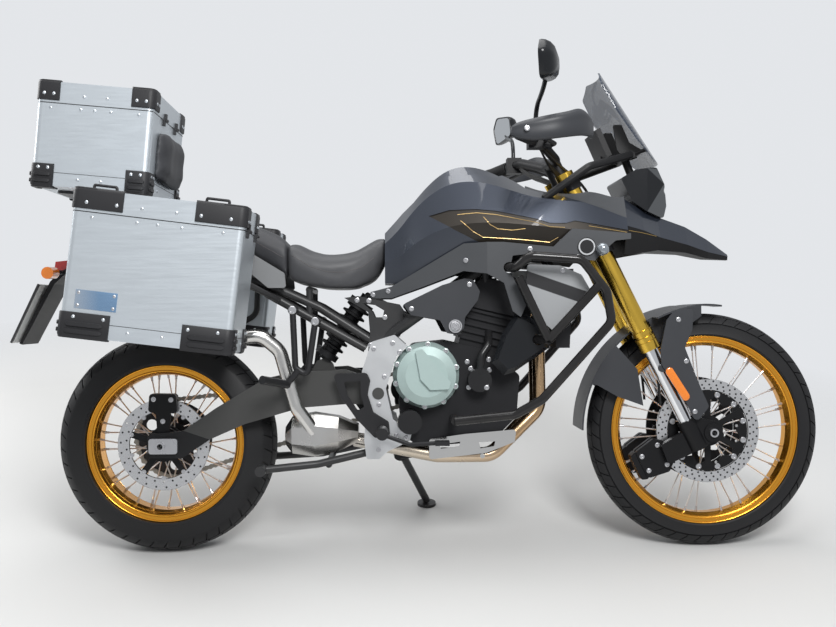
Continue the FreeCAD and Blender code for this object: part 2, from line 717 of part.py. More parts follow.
def rear_shock():
    """Damper and coil spring as one turned form, from the swingarm's lug to the frame."""
    low = point(460.0, 0.0, 566.0)
    high = point(*shock_top)
    length = (high - low).Length
    wire_radius = 6.5
    core = 24.5
    coils = 7
    start = 36.0
    pitch = (length - 2 * start) / coils

    def line(start, end):
        return Part.LineSegment(point(start[1], 0, start[0]), point(end[1], 0, end[0])).toShape()

    corners = [(0, 0), (0, 16), (10, 16), (10, 36), (start - 8, 36), (start - 8, core), (start, core)]
    edges = [line(a, b) for a, b in zip(corners, corners[1:])]
    for i in range(coils):
        low_z = start + i * pitch
        middle = low_z + pitch / 2
        crest = core + 2 * wire_radius
        wave = [(low_z, core), (middle - wire_radius, core), (middle - 3, crest), (middle + 3, crest),
                (middle + wire_radius, core), (low_z + pitch, core)]
        edges += [line(a, b) for a, b in zip(wave, wave[1:])]
    z = length - start
    corners = [(z, core), (z + 4, core), (z + 4, 38), (z + 14, 38), (z + 14, 15), (length, 15), (length, 0),
               (0, 0)]
    edges += [line(a, b) for a, b in zip(corners, corners[1:])]
    body = Part.Face(Part.Wire(edges)).revolve(point(0, 0, 0), Z_AXIS, 360)
    tilt = math.degrees(math.atan2(high.x - low.x, high.z - low.z))
    body.rotate(point(0, 0, 0), Y_AXIS, tilt)
    body.translate(low)
    return body.cut(moved(shock_lug(), 0, 0, gap)).cut(join(frame_tubes(gap)))


def drive_chain():
    """A closed loop round both sprockets."""
    upper, lower = chain_tangents(sprocket_radius, front_sprocket_radius)

    def loop(extra):
        wires = []
        for centre, radius, start, end in ((rear_axle, sprocket_radius + extra, upper, lower + 2 * math.pi),
                                           (chain_front, front_sprocket_radius + extra, lower, upper)):
            wires.append([point(centre[0] + radius * math.cos(a), chain_y - 7,
                                centre[1] + radius * math.sin(a)) for a in (start, (start + end) / 2, end)])
        rear, front = wires
        edges = [Part.Arc(*rear).toShape(), Part.LineSegment(rear[2], front[0]).toShape(),
                 Part.Arc(*front).toShape(), Part.LineSegment(front[2], rear[0]).toShape()]
        return Part.Face(Part.Wire(edges)).extrude(point(0, 14, 0))

    return loop(10.0).cut(loop(sprocket_gap))


case_half = plate_inner - gap


def engine_head():
    """The cylinder block and the head cover above it."""
    cylinders = slab(from_pivot([(218, 560), (388, 520), (436, 690), (268, 730)]), -engine_half + 14,
                     engine_half - 14, 10.0)
    fins = []
    for i in range(5):
        rise = 72.0 + 20.0 * i
        corners = [(210 + 0.294 * rise, 560 + rise), (398 + 0.282 * rise, 514 + rise),
                   (400 + 0.282 * rise, 521 + rise), (212 + 0.294 * rise, 567 + rise)]
        fins.append(slab(from_pivot(corners), -engine_half + 6, engine_half - 6))
    cover = slab(from_pivot([(262, 722), (440, 680), (462, 764), (430, 790), (300, 800), (268, 776)]),
                 -engine_half, engine_half, 14.0)
    return join([cylinders, cover] + fins)


def stand_lug():
    """The cast arm, plate and pin that hold the side stand's eye."""
    axis = point(*side_stand_axis())
    eye = point(*side_stand_pivot)
    seat = eye - axis * (stand_eye_half + gap)
    plate = Part.makeCylinder(20, 10, seat, axis * -1)
    pin = Part.makeCylinder(8, 2 * stand_eye_half + gap, seat, axis)
    back = seat - axis * 9.2
    elbow = (pivot_x + 104, back.y - 8, back.z + 6)
    return join([plate, pin, rod(tuple(back), elbow, 9.0), Part.makeSphere(9.0, point(*elbow)),
                 rod(elbow, (pivot_x + 116, case_half - 18, 332), 9.0)])


def engine_parts():
    x = pivot_x
    crankcase = slab(from_pivot([(66, 350), (120, 316), (330, 330), (400, 400), (410, 520), (330, 590),
                                 (200, 620), (100, 610), (66, 540), (60, 430)]), -case_half, case_half, 18.0)
    fx, fz = chain_front
    pocket = join([block(fx - 120, fx, chain_y - 16, case_half + 1, fz - 66, fz + 66),
                   cross_rod(fx, fz, chain_y - 16, case_half + 1, 60.0)])
    output = cross_rod(fx, fz, chain_y - 17, chain_y + 14, 12.0)
    output = output.fuse(cross_rod(fx, fz, chain_y - 4, chain_y + 3, front_sprocket_radius))
    pieces = {"engine_block": join([crankcase.cut(pocket), output, engine_head(), stand_lug()])}
    cx, cz = clutch_centre
    face = case_half + gap
    dome = Part.makeCone(96, 84, 22, point(cx, -face, cz), point(0, -1, 0))
    dome = dome.fuse(Part.makeCylinder(84, 34, point(cx, -face - 22, cz), point(0, -1, 0)))
    dome = dome.fuse(Part.makeCone(84, 60, 12, point(cx, -face - 56, cz), point(0, -1, 0)))
    crest = slab(from_pivot([(106, 594), (126, 600), (206, 506), (200, 486), (148, 484), (120, 514)]),
                 -face - 76, -face - 56, 5.0)
    lugs = [cross_rod(cx + 89 * math.cos(math.radians(a)), cz + 89 * math.sin(math.radians(a)),
                      -face - 24, -face, 9.0) for a in range(15, 375, 36)]
    dome = join([dome, crest] + lugs)
    oil = Part.makeCylinder(34, 66, point(filter_centre[0], -face, filter_centre[1]), point(0, -1, 0))
    pump = Part.makeCylinder(34, 44, point(x + 291, -face, 509), point(0, -1, 0))
    hose = bent_rod([(x + 291, -face - 34, 526), (x + 296, -face - 34, 580), (x + 318, -face - 24, 610),
                     (x + 322, -engine_half + 14 - gap, 646)], 11.0, 24.0)
    pump = join([pump, hose]).cut(moved(engine_head(), 0, -gap, 0))
    stator = Part.makeCone(90, 74, 46, point(x + 232, face, 520), point(0, 1, 0))
    sprocket_cover = slab([(fx - 30, fz - 62), (fx + 24, fz - 66), (fx + 62, fz), (fx + 24, fz + 66),
                           (fx - 30, fz + 62)], face, face + 14, 20.0)
    pieces["engine_covers"] = group([dome, oil, pump, stator.cut(sprocket_cover), sprocket_cover])
    return pieces


pipe_y = 46.0
pipe_front_y = 82.5
link_y = 141.0


def octagon(x, y_low, y_high, z_low, z_high, cut):
    """A section across the machine with cut corners."""
    corners = [(y_low + cut, z_low), (y_high - cut, z_low), (y_high, z_low + cut), (y_high, z_high - cut),
               (y_high - cut, z_high), (y_low + cut, z_high), (y_low, z_high - cut), (y_low, z_low + cut)]
    return closed_wire([(x, y, z) for y, z in corners])


# Columns: x, right side, left side, underside, top and cut corner
collector_rows = (
    (356.0, -122, -48, 322, 374, 18),
    (376.0, -142, -28, 298, 404, 30),
    (440.0, -146, -24, 288, 414, 34),
    (510.0, -144, -20, 304, 402, 30),
    (566.0, -112, -14, 328, 376, 16),
)


def exhaust():
    """Two headers under the engine to a collector box, and the pipe up to the silencer."""
    x = pivot_x
    headers = []
    for side in (-1, 1):
        near = side * 20.5 - pipe_y
        front = side * 20.5 - pipe_front_y
        headers.append(bent_rod([(x + 438, side * 45, 712), (x + 474, side * 45, 700),
                                 (x + 474, side * 38 - 34, 420), (x + 330, front, 286),
                                 (x + 170, front, 286), (x - 70, near, 330)], 19.0, 60.0))
    shield_y = pipe_front_y + 20.5 + 24.0
    shield = slab(from_pivot([(146, 338), (250, 352), (398, 364), (394, 328), (312, 297), (146, 279)]),
                  -shield_y - 3, -shield_y, 8.0)
    for low, high in ((176, 236), (290, 338)):
        slot = from_pivot([(low, 322 + 0.05 * (low - 176)), (low + 4, 310), (high - 4, 316), (high, 330)])
        shield = shield.cut(slab(slot, -shield_y - 4, -shield_y + 1))
    spacers = [cross_rod(x + ahead, 288, -shield_y - 1, -pipe_front_y - 30, 7.0) for ahead in (165, 300)]
    link = bent_rod([(440, -128, 360), (392, -link_y, 430), (344, -link_y, 596), (292, -150, 640),
                     (226, -150, 634)], 20.0, 50.0)
    headers = join(headers).cut(moved(engine_head(), gap, 0, 0))
    return join([headers, shield, loft_rows(collector_rows, octagon), link] + spacers).cut(silencer_can(gap))


def silencer_can(extra):
    return rod((226 + extra, -150, 634 - extra * 0.2), (-190, -150, 716), 48.0 + extra)


def silencer():
    can = silencer_can(0.0)
    tip = rod((-186, -150, 715), (-226, -150, 723), 24.0)
    return join([can, tip])


def crash_bar_tubes(extra):
    """The right crash bar, made thicker by an extra where a panel lets it through."""
    r = crash_bar_radius + extra
    y = crash_bar_half
    x = pivot_x
    loop = bent_rod([(x + 330, -115, 842), (x + 346, -160, 832), (x + 386, -y + 20, 826), (x + 421, -y, 859),
                     (x + 567, -y, 848), (x + 636, -y, 760), (x + 650, -y, 675),
                     (x + 456, -y + 10, 459), (x + 384, -y + 32, 416),
                     (x + 216, -y + 44, 398)], r, 34.0)
    inner = rod((x + 393, -y + 10, 800), (x + 476, -y + 14, 625), r)
    diagonal = rod((x + 476, -y + 14, 625), (x + 618, -y, 780), r)
    foot = rod((x + 218, -y + 44, 398), (x + 218, -case_half - gap, 398), r)
    top_foot = rod((x + 476, -y + 14, 625), (x + 404, -engine_half + 20, 625), r)
    return join([loop, inner, diagonal, foot, top_foot])


def crash_bars():
    """Tube loops round both sides of the engine and radiator."""
    bars = crash_bar_tubes(0.0).cut(moved(engine_head(), 0, -gap, 0)).cut(join(frame_tubes(gap)))
    return both_sides(bars.Solids[0])


def radiator():
    core = slab(from_pivot([(508, 600), (548, 600), (560, 826), (520, 826)]), -170, 170)
    feet = []
    for side in (-1, 1):
        feet.append(rod((pivot_x + 532, side * 48, 816), (pivot_x + 490, side * 48, 881), 7.0))
        feet.append(cross_rod(pivot_x + 528, 740, *sorted((side * 168, side * (cowl_y - gap))), 9.0))
    return join([core] + feet).cut(join(frame_tubes(gap)))


# Body
def body_section(x, inset, row):
    """One section of the tank and fairing form, drawn in by an inset."""
    bottom, low, mid_z, mid, high_z, high, top_z, top = row
    right = [(low - inset, bottom), (mid - inset, mid_z), (high - inset, high_z), (top, top_z - inset)]
    points = [(x, -y, z) for y, z in right] + [(x, y, z) for y, z in reversed(right)]
    return closed_wire(points)


# Columns: ahead of the pivot, bottom height and half width, widest height and half width,
# shoulder height and half width, top height and half width
body_rows = (
    (21.0, 788, 94, 852, 112, 905, 96, 938, 46),
    (95.0, 800, 124, 890, 150, 985, 118, 1022, 60),
    (207.0, 848, 164, 945, 196, 1070, 142, 1128, 70),
    (330.0, 878, 186, 955, 214, 1066, 172, 1122, 84),
    (430.0, 880, 192, 948, 215, 1034, 186, 1070, 112),
    (530.0, 868, 190, 938, 209, 1020, 184, 1052, 130),
    (640.0, 854, 180, 922, 199, 1006, 166, 1046, 134),
    (fairing_front, 854, 168, 912, 187, 992, 150, 1038, 124),
)


def body_form(inset):
    scale = tank_half / 215.0
    wires = []
    for ahead, bottom, low, mid_z, mid, high_z, high, top_z, top in body_rows:
        row = (bottom, low * scale, mid_z, mid * scale, high_z, high * scale, top_z, top)
        wires.append(body_section(pivot_x + ahead, inset, row))
    return loft(wires, True)


# Side views of the panels, ahead of the pivot. The lower line parts them from the rail below.
lower_line = [(40, 779), (139, 837), (244, 898), (287, 902), (355, 901), (496, 887), (550, 938),
              (fairing_front, 924)]
insert_line = [(147, 979), (205, 994), (280, 995), (336, 989), (449, 966), (487, 954), (534, 954),
               (560, 961), (fairing_front, 936)]
upper_line = [(fairing_front, 972), (640, 1000), (530, 1034), (430, 1060), (386, 1096), (364, 1103),
              (336, 1092), (312, 1098), (217, 1104), (150, 1066), (60, 984), (21, 950)]
insert_outline = insert_line + [(fairing_front, 924)] + lower_line[-2:2:-1] + [(219, 936)]


def tank_parts():
    outer = body_form(0.0)
    inner = body_form(panel_thickness)
    core = body_form(panel_thickness + gap)
    shell = outer.cut(inner).cut(steer_clearance)
    panel_outline = from_pivot([(21, 770)] + lower_line + upper_line)
    strip_outline = from_pivot([(430, 1060 + gap), (530, 1034 + gap), (640, 1000 + gap),
                                (fairing_front, 972 + gap), (fairing_front, 1060), (430, 1090)])
    insert = from_pivot(insert_outline)
    panels = []
    for low, high in ((-400, -40), (40, 400)):
        panel = shell.common(slab(panel_outline, low, high)).cut(slab(insert, low, high))
        inlay = body_form(insert_depth).cut(inner).common(shrunk_slab(insert, low, high, gap))
        strip = shell.common(slab(strip_outline, low, high))
        panels += [panel, inlay.cut(steer_clearance), strip]
    back = block(pivot_x, pivot_x + 432, -400, 400, 700, 1300)
    tank = core.common(back).cut(steer_clearance)
    crown = frame_tube_radius + gap
    tunnel = slab([(pivot_x - 10, 600), (pivot_x - 10, 700 + crown), (pivot_x + 120, 708 + crown),
                   (head[0] - 130, head[1] - 22 + crown), (head[0] - 22, head[1] + 20 + crown),
                   (head[0] - 22, 600)], -400, 400)
    tank = tank.cut(tunnel).cut(join(frame_tubes(gap)))
    return {"tank": tank, "side_panels": group(panels)}


cowl_thickness = 8.0
cowl_y = shroud_y - gap - cowl_thickness
brace_outline = [(355, 901 - gap), (496, 887 - gap), (550 + gap, 938 - gap), (fairing_front, 924 - gap),
                 (fairing_front, 908), (673, 904), (642, 877), (613, 847), (452, 869), (381, 862), (372, 822),
                 (418, 722), (403, 689), (380, 706), (356, 786), (309, 812)]


def rail_section(ahead, bottom, top, outer):
    x = pivot_x + ahead
    inner = outer - shroud_thickness
    return closed_wire([(x, -outer, bottom), (x, -outer, top), (x, -inner, top), (x, -inner, bottom)])


def shroud_rows():
    """Columns: ahead of the pivot, underside, top and outer face of the rail under the tank."""
    front = shroud_y + shroud_thickness
    return ((-21.0, 745, 764 - gap, front - 102), (40.0, 745, 779 - gap, front - 86),
            (139.0, 780, 837 - gap, front - 52), (244.0, 820, 898 - gap, front - 20),
            (309.0, 812, 901 - gap, front), (355.0, 786, 901 - gap, front))


def shrouds():
    """Rail and badge panel under the tank, radiator cowl, faceted lower fairing and engine side cover."""
    front = shroud_y + shroud_thickness
    badge = from_pivot([(590, 886)])[0]
    brace = slab(from_pivot(brace_outline), -front, -shroud_y)
    plate = cross_rod(*badge, -front - 3, -front + 1, 26.0)
    rail = join([loft_rows(shroud_rows(), rail_section), brace, plate])
    cowl = slab(from_pivot([(424, 838), (516, 834), (577, 808), (608, 754), (553, 700), (500, 646), (470, 672),
                            (436, 716), (418, 760)]), -shroud_y + gap, -cowl_y, 8.0)
    fairing = []
    for y, share in ((-186.0, 1.0), (-203.0, 0.8)):
        corners = [(395, 706), (352, 640), (323, 560), (357, 524), (385, 532), (488, 602), (466, 664),
                   (432, 690)]
        fairing.append(closed_wire([(pivot_x + 405 + (x - 405) * share, y, 612 + (z - 612) * share)
                                    for x, z in corners]))
    peg = cross_rod(pivot_x + 392, 640, -188, -engine_half + 14 - gap, 9.0)
    lower = join([loft(fairing), peg]).cut(moved(engine_head(), 0, -gap, 0))
    cover_y = 143.0 + frame_tube_radius + gap
    cover = slab(from_pivot([(72, 727), (184, 781), (247, 800), (272, 797), (292, 763), (286, 738), (249, 689),
                             (246, 658), (223, 640), (197, 644), (178, 681), (95, 696)]),
                 -cover_y - 8, -cover_y, 8.0)
    bolt = cross_rod(*from_pivot([(221, 664)])[0], -cover_y - 14, -cover_y, 19.0)
    spacer = cross_rod(*from_pivot([(184, 747)])[0], -cover_y - 1, -133, 12.0)
    side_cover = join([cover, bolt, spacer]).cut(join(frame_tubes(gap)))
    bars = crash_bar_tubes(3.0)
    return group([both_sides(piece.cut(bars).Solids[0]) for piece in (rail, cowl, lower, side_cover)])


# Columns: x, top height and half width, edge height and half width, underside height and half width
def beak_rows():
    hx, hz = head
    return ((pivot_x + fairing_front + gap, hz + 66, 104, hz - 20, 168, hz - 104, 120),
            (hx + 185, hz + 34, 92, hz - 32, 142, hz - 94, 104),
            (hx + 240, hz + 14, 70, hz - 50, 112, hz - 86, 84),
            (hx + 330, hz - 14, 44, hz - 70, 78, hz - 92, 56),
            (hx + 400, hz - 50, 26, hz - 90, 48, hz - 108, 34),
            (hx + 469, hz - 95, 7, hz - 101, 13, hz - 112, 9))


def beak():
    """The painted nose over a darker trough that closes it from below."""
    wall = 5.0
    skin, hollow, trough, bed = [], [], [], []
    for x, top, half_top, edge, half, low, half_low in beak_rows():
        for wires, lift, grow in ((skin, 0.0, 0.0), (hollow, -wall, -wall)):
            foot = edge if not grow else edge - 2
            wires.append(closed_wire([(x, -half - grow, foot), (x, -half_top - grow * 0.6, top + lift),
                                      (x, half_top + grow * 0.6, top + lift), (x, half + grow, foot)]))
        for wires, drop, grow in ((trough, -gap, 0.0), (bed, 1.0, -wall)):
            rim = half - 1.0 + grow
            wires.append(closed_wire([(x, -rim, edge + drop), (x, rim, edge + drop),
                                      (x, half_low + grow * 0.7, low - grow * 0.6),
                                      (x, -half_low - grow * 0.7, low - grow * 0.6)]))
    pieces = [loft(skin).cut(loft(hollow)), loft(trough).cut(loft(bed))]
    return group([piece.cut(steer_clearance) for piece in pieces])


def headlight():
    outline = from_head([(160, 56), (126, 124), (170, 150), (236, 158), (262, 110), (268, 46), (258, 8.8),
                         (240, 14.4), (200, 29)])
    body = slab(outline, -104, 104, 8.0)
    hx, hz = head
    for side in (-1, 1):
        wedge = floor_slab([(hx + 110, side * 110), (hx + 200, side * 106), (hx + 290, side * 60),
                            (hx + 290, side * 130), (hx + 110, side * 130)], hz - 60, hz + 260)
        body = body.cut(wedge)
    return body


screen_slope = math.radians(32.7)
screen_radius = 277.0
screen_wall = 4.0


def screen_cylinder(radius):
    """The round form that the windscreen is rolled on."""
    up = point(-math.sin(screen_slope), 0, math.cos(screen_slope))
    ahead = point(math.cos(screen_slope), 0, math.sin(screen_slope))
    foot = point(head[0] + 268, 0, head[1] + 150) - ahead * screen_radius - up * 80
    return Part.makeCylinder(radius, 600, foot, up)


def windscreen():
    """A clear sheet rolled about a sloping axis and trimmed to its outline."""
    hx, hz = head
    sheet = screen_cylinder(screen_radius).cut(screen_cylinder(screen_radius - screen_wall))
    outline = [(-104, 172), (-140, 230), (-152, 320), (-138, 400), (-90, 436), (90, 436), (138, 400),
               (152, 320), (140, 230), (104, 172)]
    wire = rounded_outline([(hx - 60, y, hz + z) for y, z in outline], 20.0)
    return sheet.common(Part.Face(wire).extrude(point(500, 0, 0)))


def display():
    """The instrument, the fairing stays on both sides and the arms that hold the screen."""
    hx, hz = head
    panel = turned(block(hx + 90, hx + 106, -84, 84, hz + 190, hz + 276), (hx + 90, 0, hz + 190),
                   (0, 1, 0), -24)
    stays = []
    for side in (-1, 1):
        stays.append(bent_rod([(hx - 110, side * 172, hz + 58), (hx + 20, side * 170, hz + 150),
                               (hx + 160, side * 88, hz + 196)], 11.0, 30.0))
        stays.append(rod((hx + 160, side * 70, hz + 196), (hx + 260, side * 70, hz + 232), 6.0))
        outline = [(110, 286), (136, 286), (158, 234), (202, 208), (176, 190), (140, 190), (122, 212)]
        wing = slab(from_head(outline), *sorted((side * 66, side * 74)), 4.0)
        stays.append(wing)
    arm = rod((hx + 160, -90, hz + 196), (hx + 160, 90, hz + 196), 11.0)
    foot = rod((hx + 160, 0, hz + 196), (hx + 184, 0, hz + 136), 12.0)
    neck = block(hx + 84, hx + 160, -20, 20, hz + 188, hz + 204)
    frame = join([panel, neck, arm, foot] + stays)
    frame = frame.common(screen_cylinder(screen_radius - screen_wall - gap))
    return frame.cut(tank_clearance()).cut(moved(headlight(), 0, 0, gap))


def tank_clearance():
    return body_form(gap * -1).common(block(0, pivot_x + 560, -400, 400, 700, 1300))


def seat_section(x, half, low, high, crown):
    points = [(x, -half, low), (x, -half, high - crown), (x, -half * 0.7, high), (x, half * 0.7, high),
              (x, half, high - crown), (x, half, low)]
    return closed_wire(points)


def seats():
    rider = [seat_section(pivot_x + x, half, low, high, crown) for x, half, low, high, crown in
             ((-258, seat_half - 13, 800, 914, 34), (-190, seat_half, 780, 880, 34),
              (-125, seat_half - 4, 772, 871, 30), (-60, seat_half - 20, 774, 882, 30),
              (-8, seat_half - 50, 800, 915, 26), (18, seat_half - 70, 860, 930, 20))]
    passenger = [seat_section(x, half, low, high, crown) for x, half, low, high, crown in
                 ((40, seat_half - 20, 935, 990, 26), (200, seat_half - 14, 908, 986, 28),
                  (pivot_x - 258 - gap, seat_half - 13, 800, 914, 34))]
    return {"rider_seat": loft(rider), "passenger_seat": loft(passenger)}


def tail_covers():
    outline = [(-140, 910), (40, 932), (200, 904), (237, 893), (pivot_x - 266, 818), (pivot_x - 262, 776),
               (312, 776), (229, 846), (40, 888), (-140, 890)]
    return both_sides(slab(outline, -tail_cover_y - 8, -tail_cover_y, 8.0))


def subframe_rails(extra):
    """The long rails of the subframe, made thicker by an extra where something seats on them."""
    rails = []
    for side in (-1, 1):
        y = side * rail_y
        rails.append(bent_rod([(pivot_x - 12, y, 618), (pivot_x - 170, y, 720), (300, y, 790), (120, y, 850),
                               (-180, side * 92, 876)], rail_radius + extra, 60.0))
        rails.append(rod((pivot_x - 36, y, 600), (303, y, 762), rail_radius + extra))
    return rails


def subframe():
    rails = subframe_rails(0.0)
    for side in (-1, 1):
        y = side * rail_y
        rails.append(rod((303, y, 762), (120, y, 850), rail_radius - 2))
        rails.append(rod((427, y, 699), (427, y, 771), rail_radius - 3))
        rails.append(rod((180, y, 830), (180, y, 868), 8.0))
        rails.append(cross_rod(180, 868, *sorted((y, side * (tail_cover_y - gap))), 8.0))
        rails.append(rod((120, y, 850), (120, y, 910.5), 8.0))
    for x, z, half in ((-60, 866, 100), (200, 824, rail_y), (427, 771, rail_y), (120, 910.5, rail_y),
                       (-120, 871.7, 92)):
        rails.append(cross_rod(x, z, -half, half, rail_radius - 2))
    outline = from_pivot([(-97, 747), (-57, 752), (-22, 744.5), (64, 727), (87, 693), (64, 635), (10, 604),
                          (-29, 592), (-23, 642), (-28, 705)])
    window = from_pivot([(-44, 732), (-12, 728), (18, 710), (14, 690), (-8, 690), (-16, 708)])
    plate = slab(outline, -plate_inner + gap, -rail_y - 4).cut(slab(window, -200, 0))
    for piece in (plate, mirrored(plate)):
        rails.append(piece.cut(join(frame_tubes(gap))))
    return join(rails)


def luggage_rack():
    """A plate under the top case on four posts, with a grab rail on each side."""
    seat = top_corner[1] - gap
    plate = top_tilted(floor_slab([(-300, -105), (-40, -120), (8, -112), (8, 112), (-40, 120), (-300, 105)],
                                  seat - 8, seat, 20.0))
    feet = []
    for side in (-1, 1):
        feet.append(rod((-150, side * 93, 880), (-150, side * 93, 1045), 9.0))
        feet.append(rod((-10, side * 101, 870), (-10, side * 101, 1033), 9.0))
        feet.append(bent_rod([(-10, side * 101, 1006), (40, side * 168, 992), (190, side * 172, 962),
                              (228, side * 170, 890), (228, side * (tail_cover_y + 8 + gap), 890)], 10.0, 30.0))
    return join([plate] + feet).cut(join(subframe_rails(gap)))


def rear_fender():
    strip = slab([(-100, 862), (-190, 858), (-300, 830), (-330, 800), (-420, 620), (-412, 616), (-318, 792),
                  (-290, 818), (-190, 846), (-100, 850)], -70, 70)
    plate = slab([(-345, 790), (-424, 622), (-429, 624), (-350, 792)], -120, 120)
    bracket = slab([(-343, 772), (-358, 768), (-384, 712), (-368, 708)], -30, 30)
    return join([strip, plate, bracket])


def lamps():
    tail = slab([(-240, 866), (-318, 858), (-322, 830.4), (-300, 830.4), (-242, 845.1)], -58, 58)
    pieces = [tail]
    for side in (-1, 1):
        stalk = rod((-296, side * 70.3, 826), (-300, side * 140, 822), 7.0)
        bulb = rod((-300, side * 132, 822), (-300, side * 188, 820), 17.0)
        pieces.append(join([stalk, bulb]))
        lamp_x, lamp_z = from_pivot([(632, 878)])[0]
        lamp_y = shroud_y + shroud_thickness + gap + 18.0
        pieces.append(Part.makeSphere(18, point(lamp_x, side * lamp_y, lamp_z)))
    return group(pieces)


# Cases
def case_shape(length, width, height, base, grow=0.0):
    """A box with rounded upright edges, its length along x and its width along y."""
    x, y, z = base
    outline = [(x - grow, y - grow), (x + length + grow, y - grow), (x + length + grow, y + width + grow),
               (x - grow, y + width + grow)]
    return floor_slab(outline, z, z + height, case_corner + grow)


def guards(length, width, height, base, at_top):
    """Corner guards, at the lower or upper corners of a case, each with a wider foot."""
    x, y, z = base
    size = guard_size
    proud = guard_proud
    low, high = (z + height - size * 0.62, z + height + proud) if at_top else (z - proud, z + size)
    band = case_shape(length, width, high - low, (x, y, low), proud)
    pieces = []
    for x_low, x_high in ((x - proud, x + size), (x + length - size, x + length + proud)):
        for y_low, y_high in ((y - proud, y + size), (y + width - size, y + width + proud)):
            pieces.append(band.common(block(x_low, x_high, y_low, y_high, low, high)))
    return pieces


def knuckle(length, width, height, base, up):
    """Half of the hinge at the front of a case: a barrel on a leaf."""
    x, y, z = base
    middle = y + width / 2
    front = x + length
    z_hinge = z if up else z + height
    pieces = []
    for offset in (-90, 60):
        start = middle + offset + (15.5 if up else 0.0)
        leaf_low, leaf_high = (z_hinge + 1, z_hinge + 18) if up else (z_hinge - 18, z_hinge)
        pieces.append(cross_rod(front + hinge_reach, z_hinge - (lid_gap if up else 0), start, start + 14.5,
                                knuckle_radius))
        pieces.append(block(front - 1, front + hinge_reach, start, start + 14.5, leaf_low, leaf_high))
    return pieces


def hollow_box(length, width, height, base):
    """An open box with corner guards at its foot."""
    x, y, z = base
    outer = join([case_shape(length, width, height, base)] + guards(length, width, height, base, False)
                 + knuckle(length, width, height, base, False))
    inner = case_shape(length, width, height, (x, y, z + case_wall), -case_wall)
    return outer.cut(inner)


def hollow_lid(length, width, height, base):
    x, y, z = base
    outer = join([case_shape(length, width, height, base)] + guards(length, width, height, base, True)
                 + knuckle(length, width, height, base, True))
    inner = case_shape(length, width, height, (x, y, z - case_wall), -case_wall)
    return outer.cut(inner)


pannier_corner = (-181.0, 652.0)
top_corner = (-338.0, 1066.0)


def pannier_base(side):
    return (pannier_corner[0], pannier_inner if side > 0 else -pannier_inner - pannier_width,
            pannier_corner[1])


def pannier_tilted(shape):
    return turned(shape, (pannier_corner[0], 0, pannier_corner[1]), (0, 1, 0), pannier_tilt)


def top_tilted(shape):
    return turned(shape, (top_corner[0], 0, top_corner[1]), (0, 1, 0), top_tilt)


def cases():
    parts = {}
    for side, name in ((-1, "pannier_right"), (1, "pannier_left")):
        x, y, z = pannier_base(side)
        parts[name] = pannier_tilted(hollow_box(pannier_length, pannier_width, pannier_box, (x, y, z)))
        parts[name + "_lid"] = pannier_tilted(
            hollow_lid(pannier_length, pannier_width, pannier_lid, (x, y, z + pannier_box + lid_gap)))
    base = (top_corner[0], -top_width / 2, top_corner[1])
    lid_base = (base[0], base[1], base[2] + top_box + lid_gap)
    parts["top_case"] = top_tilted(hollow_box(top_length, top_width, top_box, base))
    parts["top_case_lid"] = top_tilted(hollow_lid(top_length, top_width, top_lid, lid_base))
    x = base[0] + top_length + gap
    pad = top_tilted(slab([(x, base[2] + 40), (x + 34, base[2] + 52), (x + 38, base[2] + 120),
                           (x + 24, base[2] + 196), (x, base[2] + 200)], -150, 150, 12.0))
    parts["backrest_pad"] = pad
    return parts


def pannier_hinge(side):
    """The lid's hinge at the front lower edge of the lid, as (x, y, z)."""
    spot = Part.Vertex(pannier_corner[0] + pannier_length + hinge_reach, 0, pannier_corner[1] + pannier_box)
    placed = pannier_tilted(spot)
    return (placed.Point.x, side * (pannier_inner + pannier_width / 2), placed.Point.z)


def top_hinge():
    spot = Part.Vertex(top_corner[0] + top_length + hinge_reach, 0, top_corner[1] + top_box)
    placed = top_tilted(spot)
    return (placed.Point.x, 0.0, placed.Point.z)


def pannier_racks():
    """A tube hoop behind each pannier with its two struts to the subframe."""
    y = -pannier_inner + 12.0
    hoop = bent_rod([(240, y, 850), (-120, y, 884), (-150, y, 700), (160, y, 662), (232, y, 700),
                     (238, y, 846)], 9.0, 40.0)
    tail = rod((-100, y, 882), (-100, -rail_y - rail_radius - gap + 10, 872), 9.0)
    front = rod((236, y, 800), (340, -rail_y - rail_radius + 2, 741), 8.0)
    return both_sides(join([hoop, tail, front]).cut(join(subframe_rails(gap))))


def footpegs():
    """Rider pegs on their brackets with heel guards, the brake pedal and the gear lever."""
    pieces = []
    x = pivot_x
    for side in (-1, 1):
        inner = side * (plate_outer + gap)
        peg = cross_rod(x + 12, 368, *sorted((side * 196, side * 268)), 17.0)
        stalk = cross_rod(x + 12, 368, *sorted((inner, side * 200)), 11.0)
        span = sorted((inner, side * (plate_outer + 10)))
        bracket = slab(from_pivot([(-129, 530), (-32, 532), (-22, 510), (-30, 470), (-14, 420), (30, 392),
                                   (34, 350), (-10, 346), (-62, 400), (-104, 460)]), *span, 10.0)
        bracket = bracket.cut(slab(from_pivot([(-98, 508), (-50, 510), (-50, 474), (-40, 434), (-58, 424),
                                               (-86, 466)]), span[0] - 1, span[1] + 1, 6.0))
        pieces.append(join([peg, stalk, bracket]))
    brake = bent_rod([(x + 14, -172, 356), (x + 90, -190, 330), (x + 172, -208, 336)], 6.0, 30.0)
    pad = block(x + 160, x + 200, -228, -190, 330, 342)
    shift = bent_rod([(x + 14, 172, 356), (x + 90, 188, 362), (x + 176, 190, 368)], 6.0, 30.0)
    toe = cross_rod(x + 176, 368, 184, 222, 9.0)
    return group([join([pieces[0], brake, pad]), join([pieces[1], shift, toe])])


hanger_y = 172.0


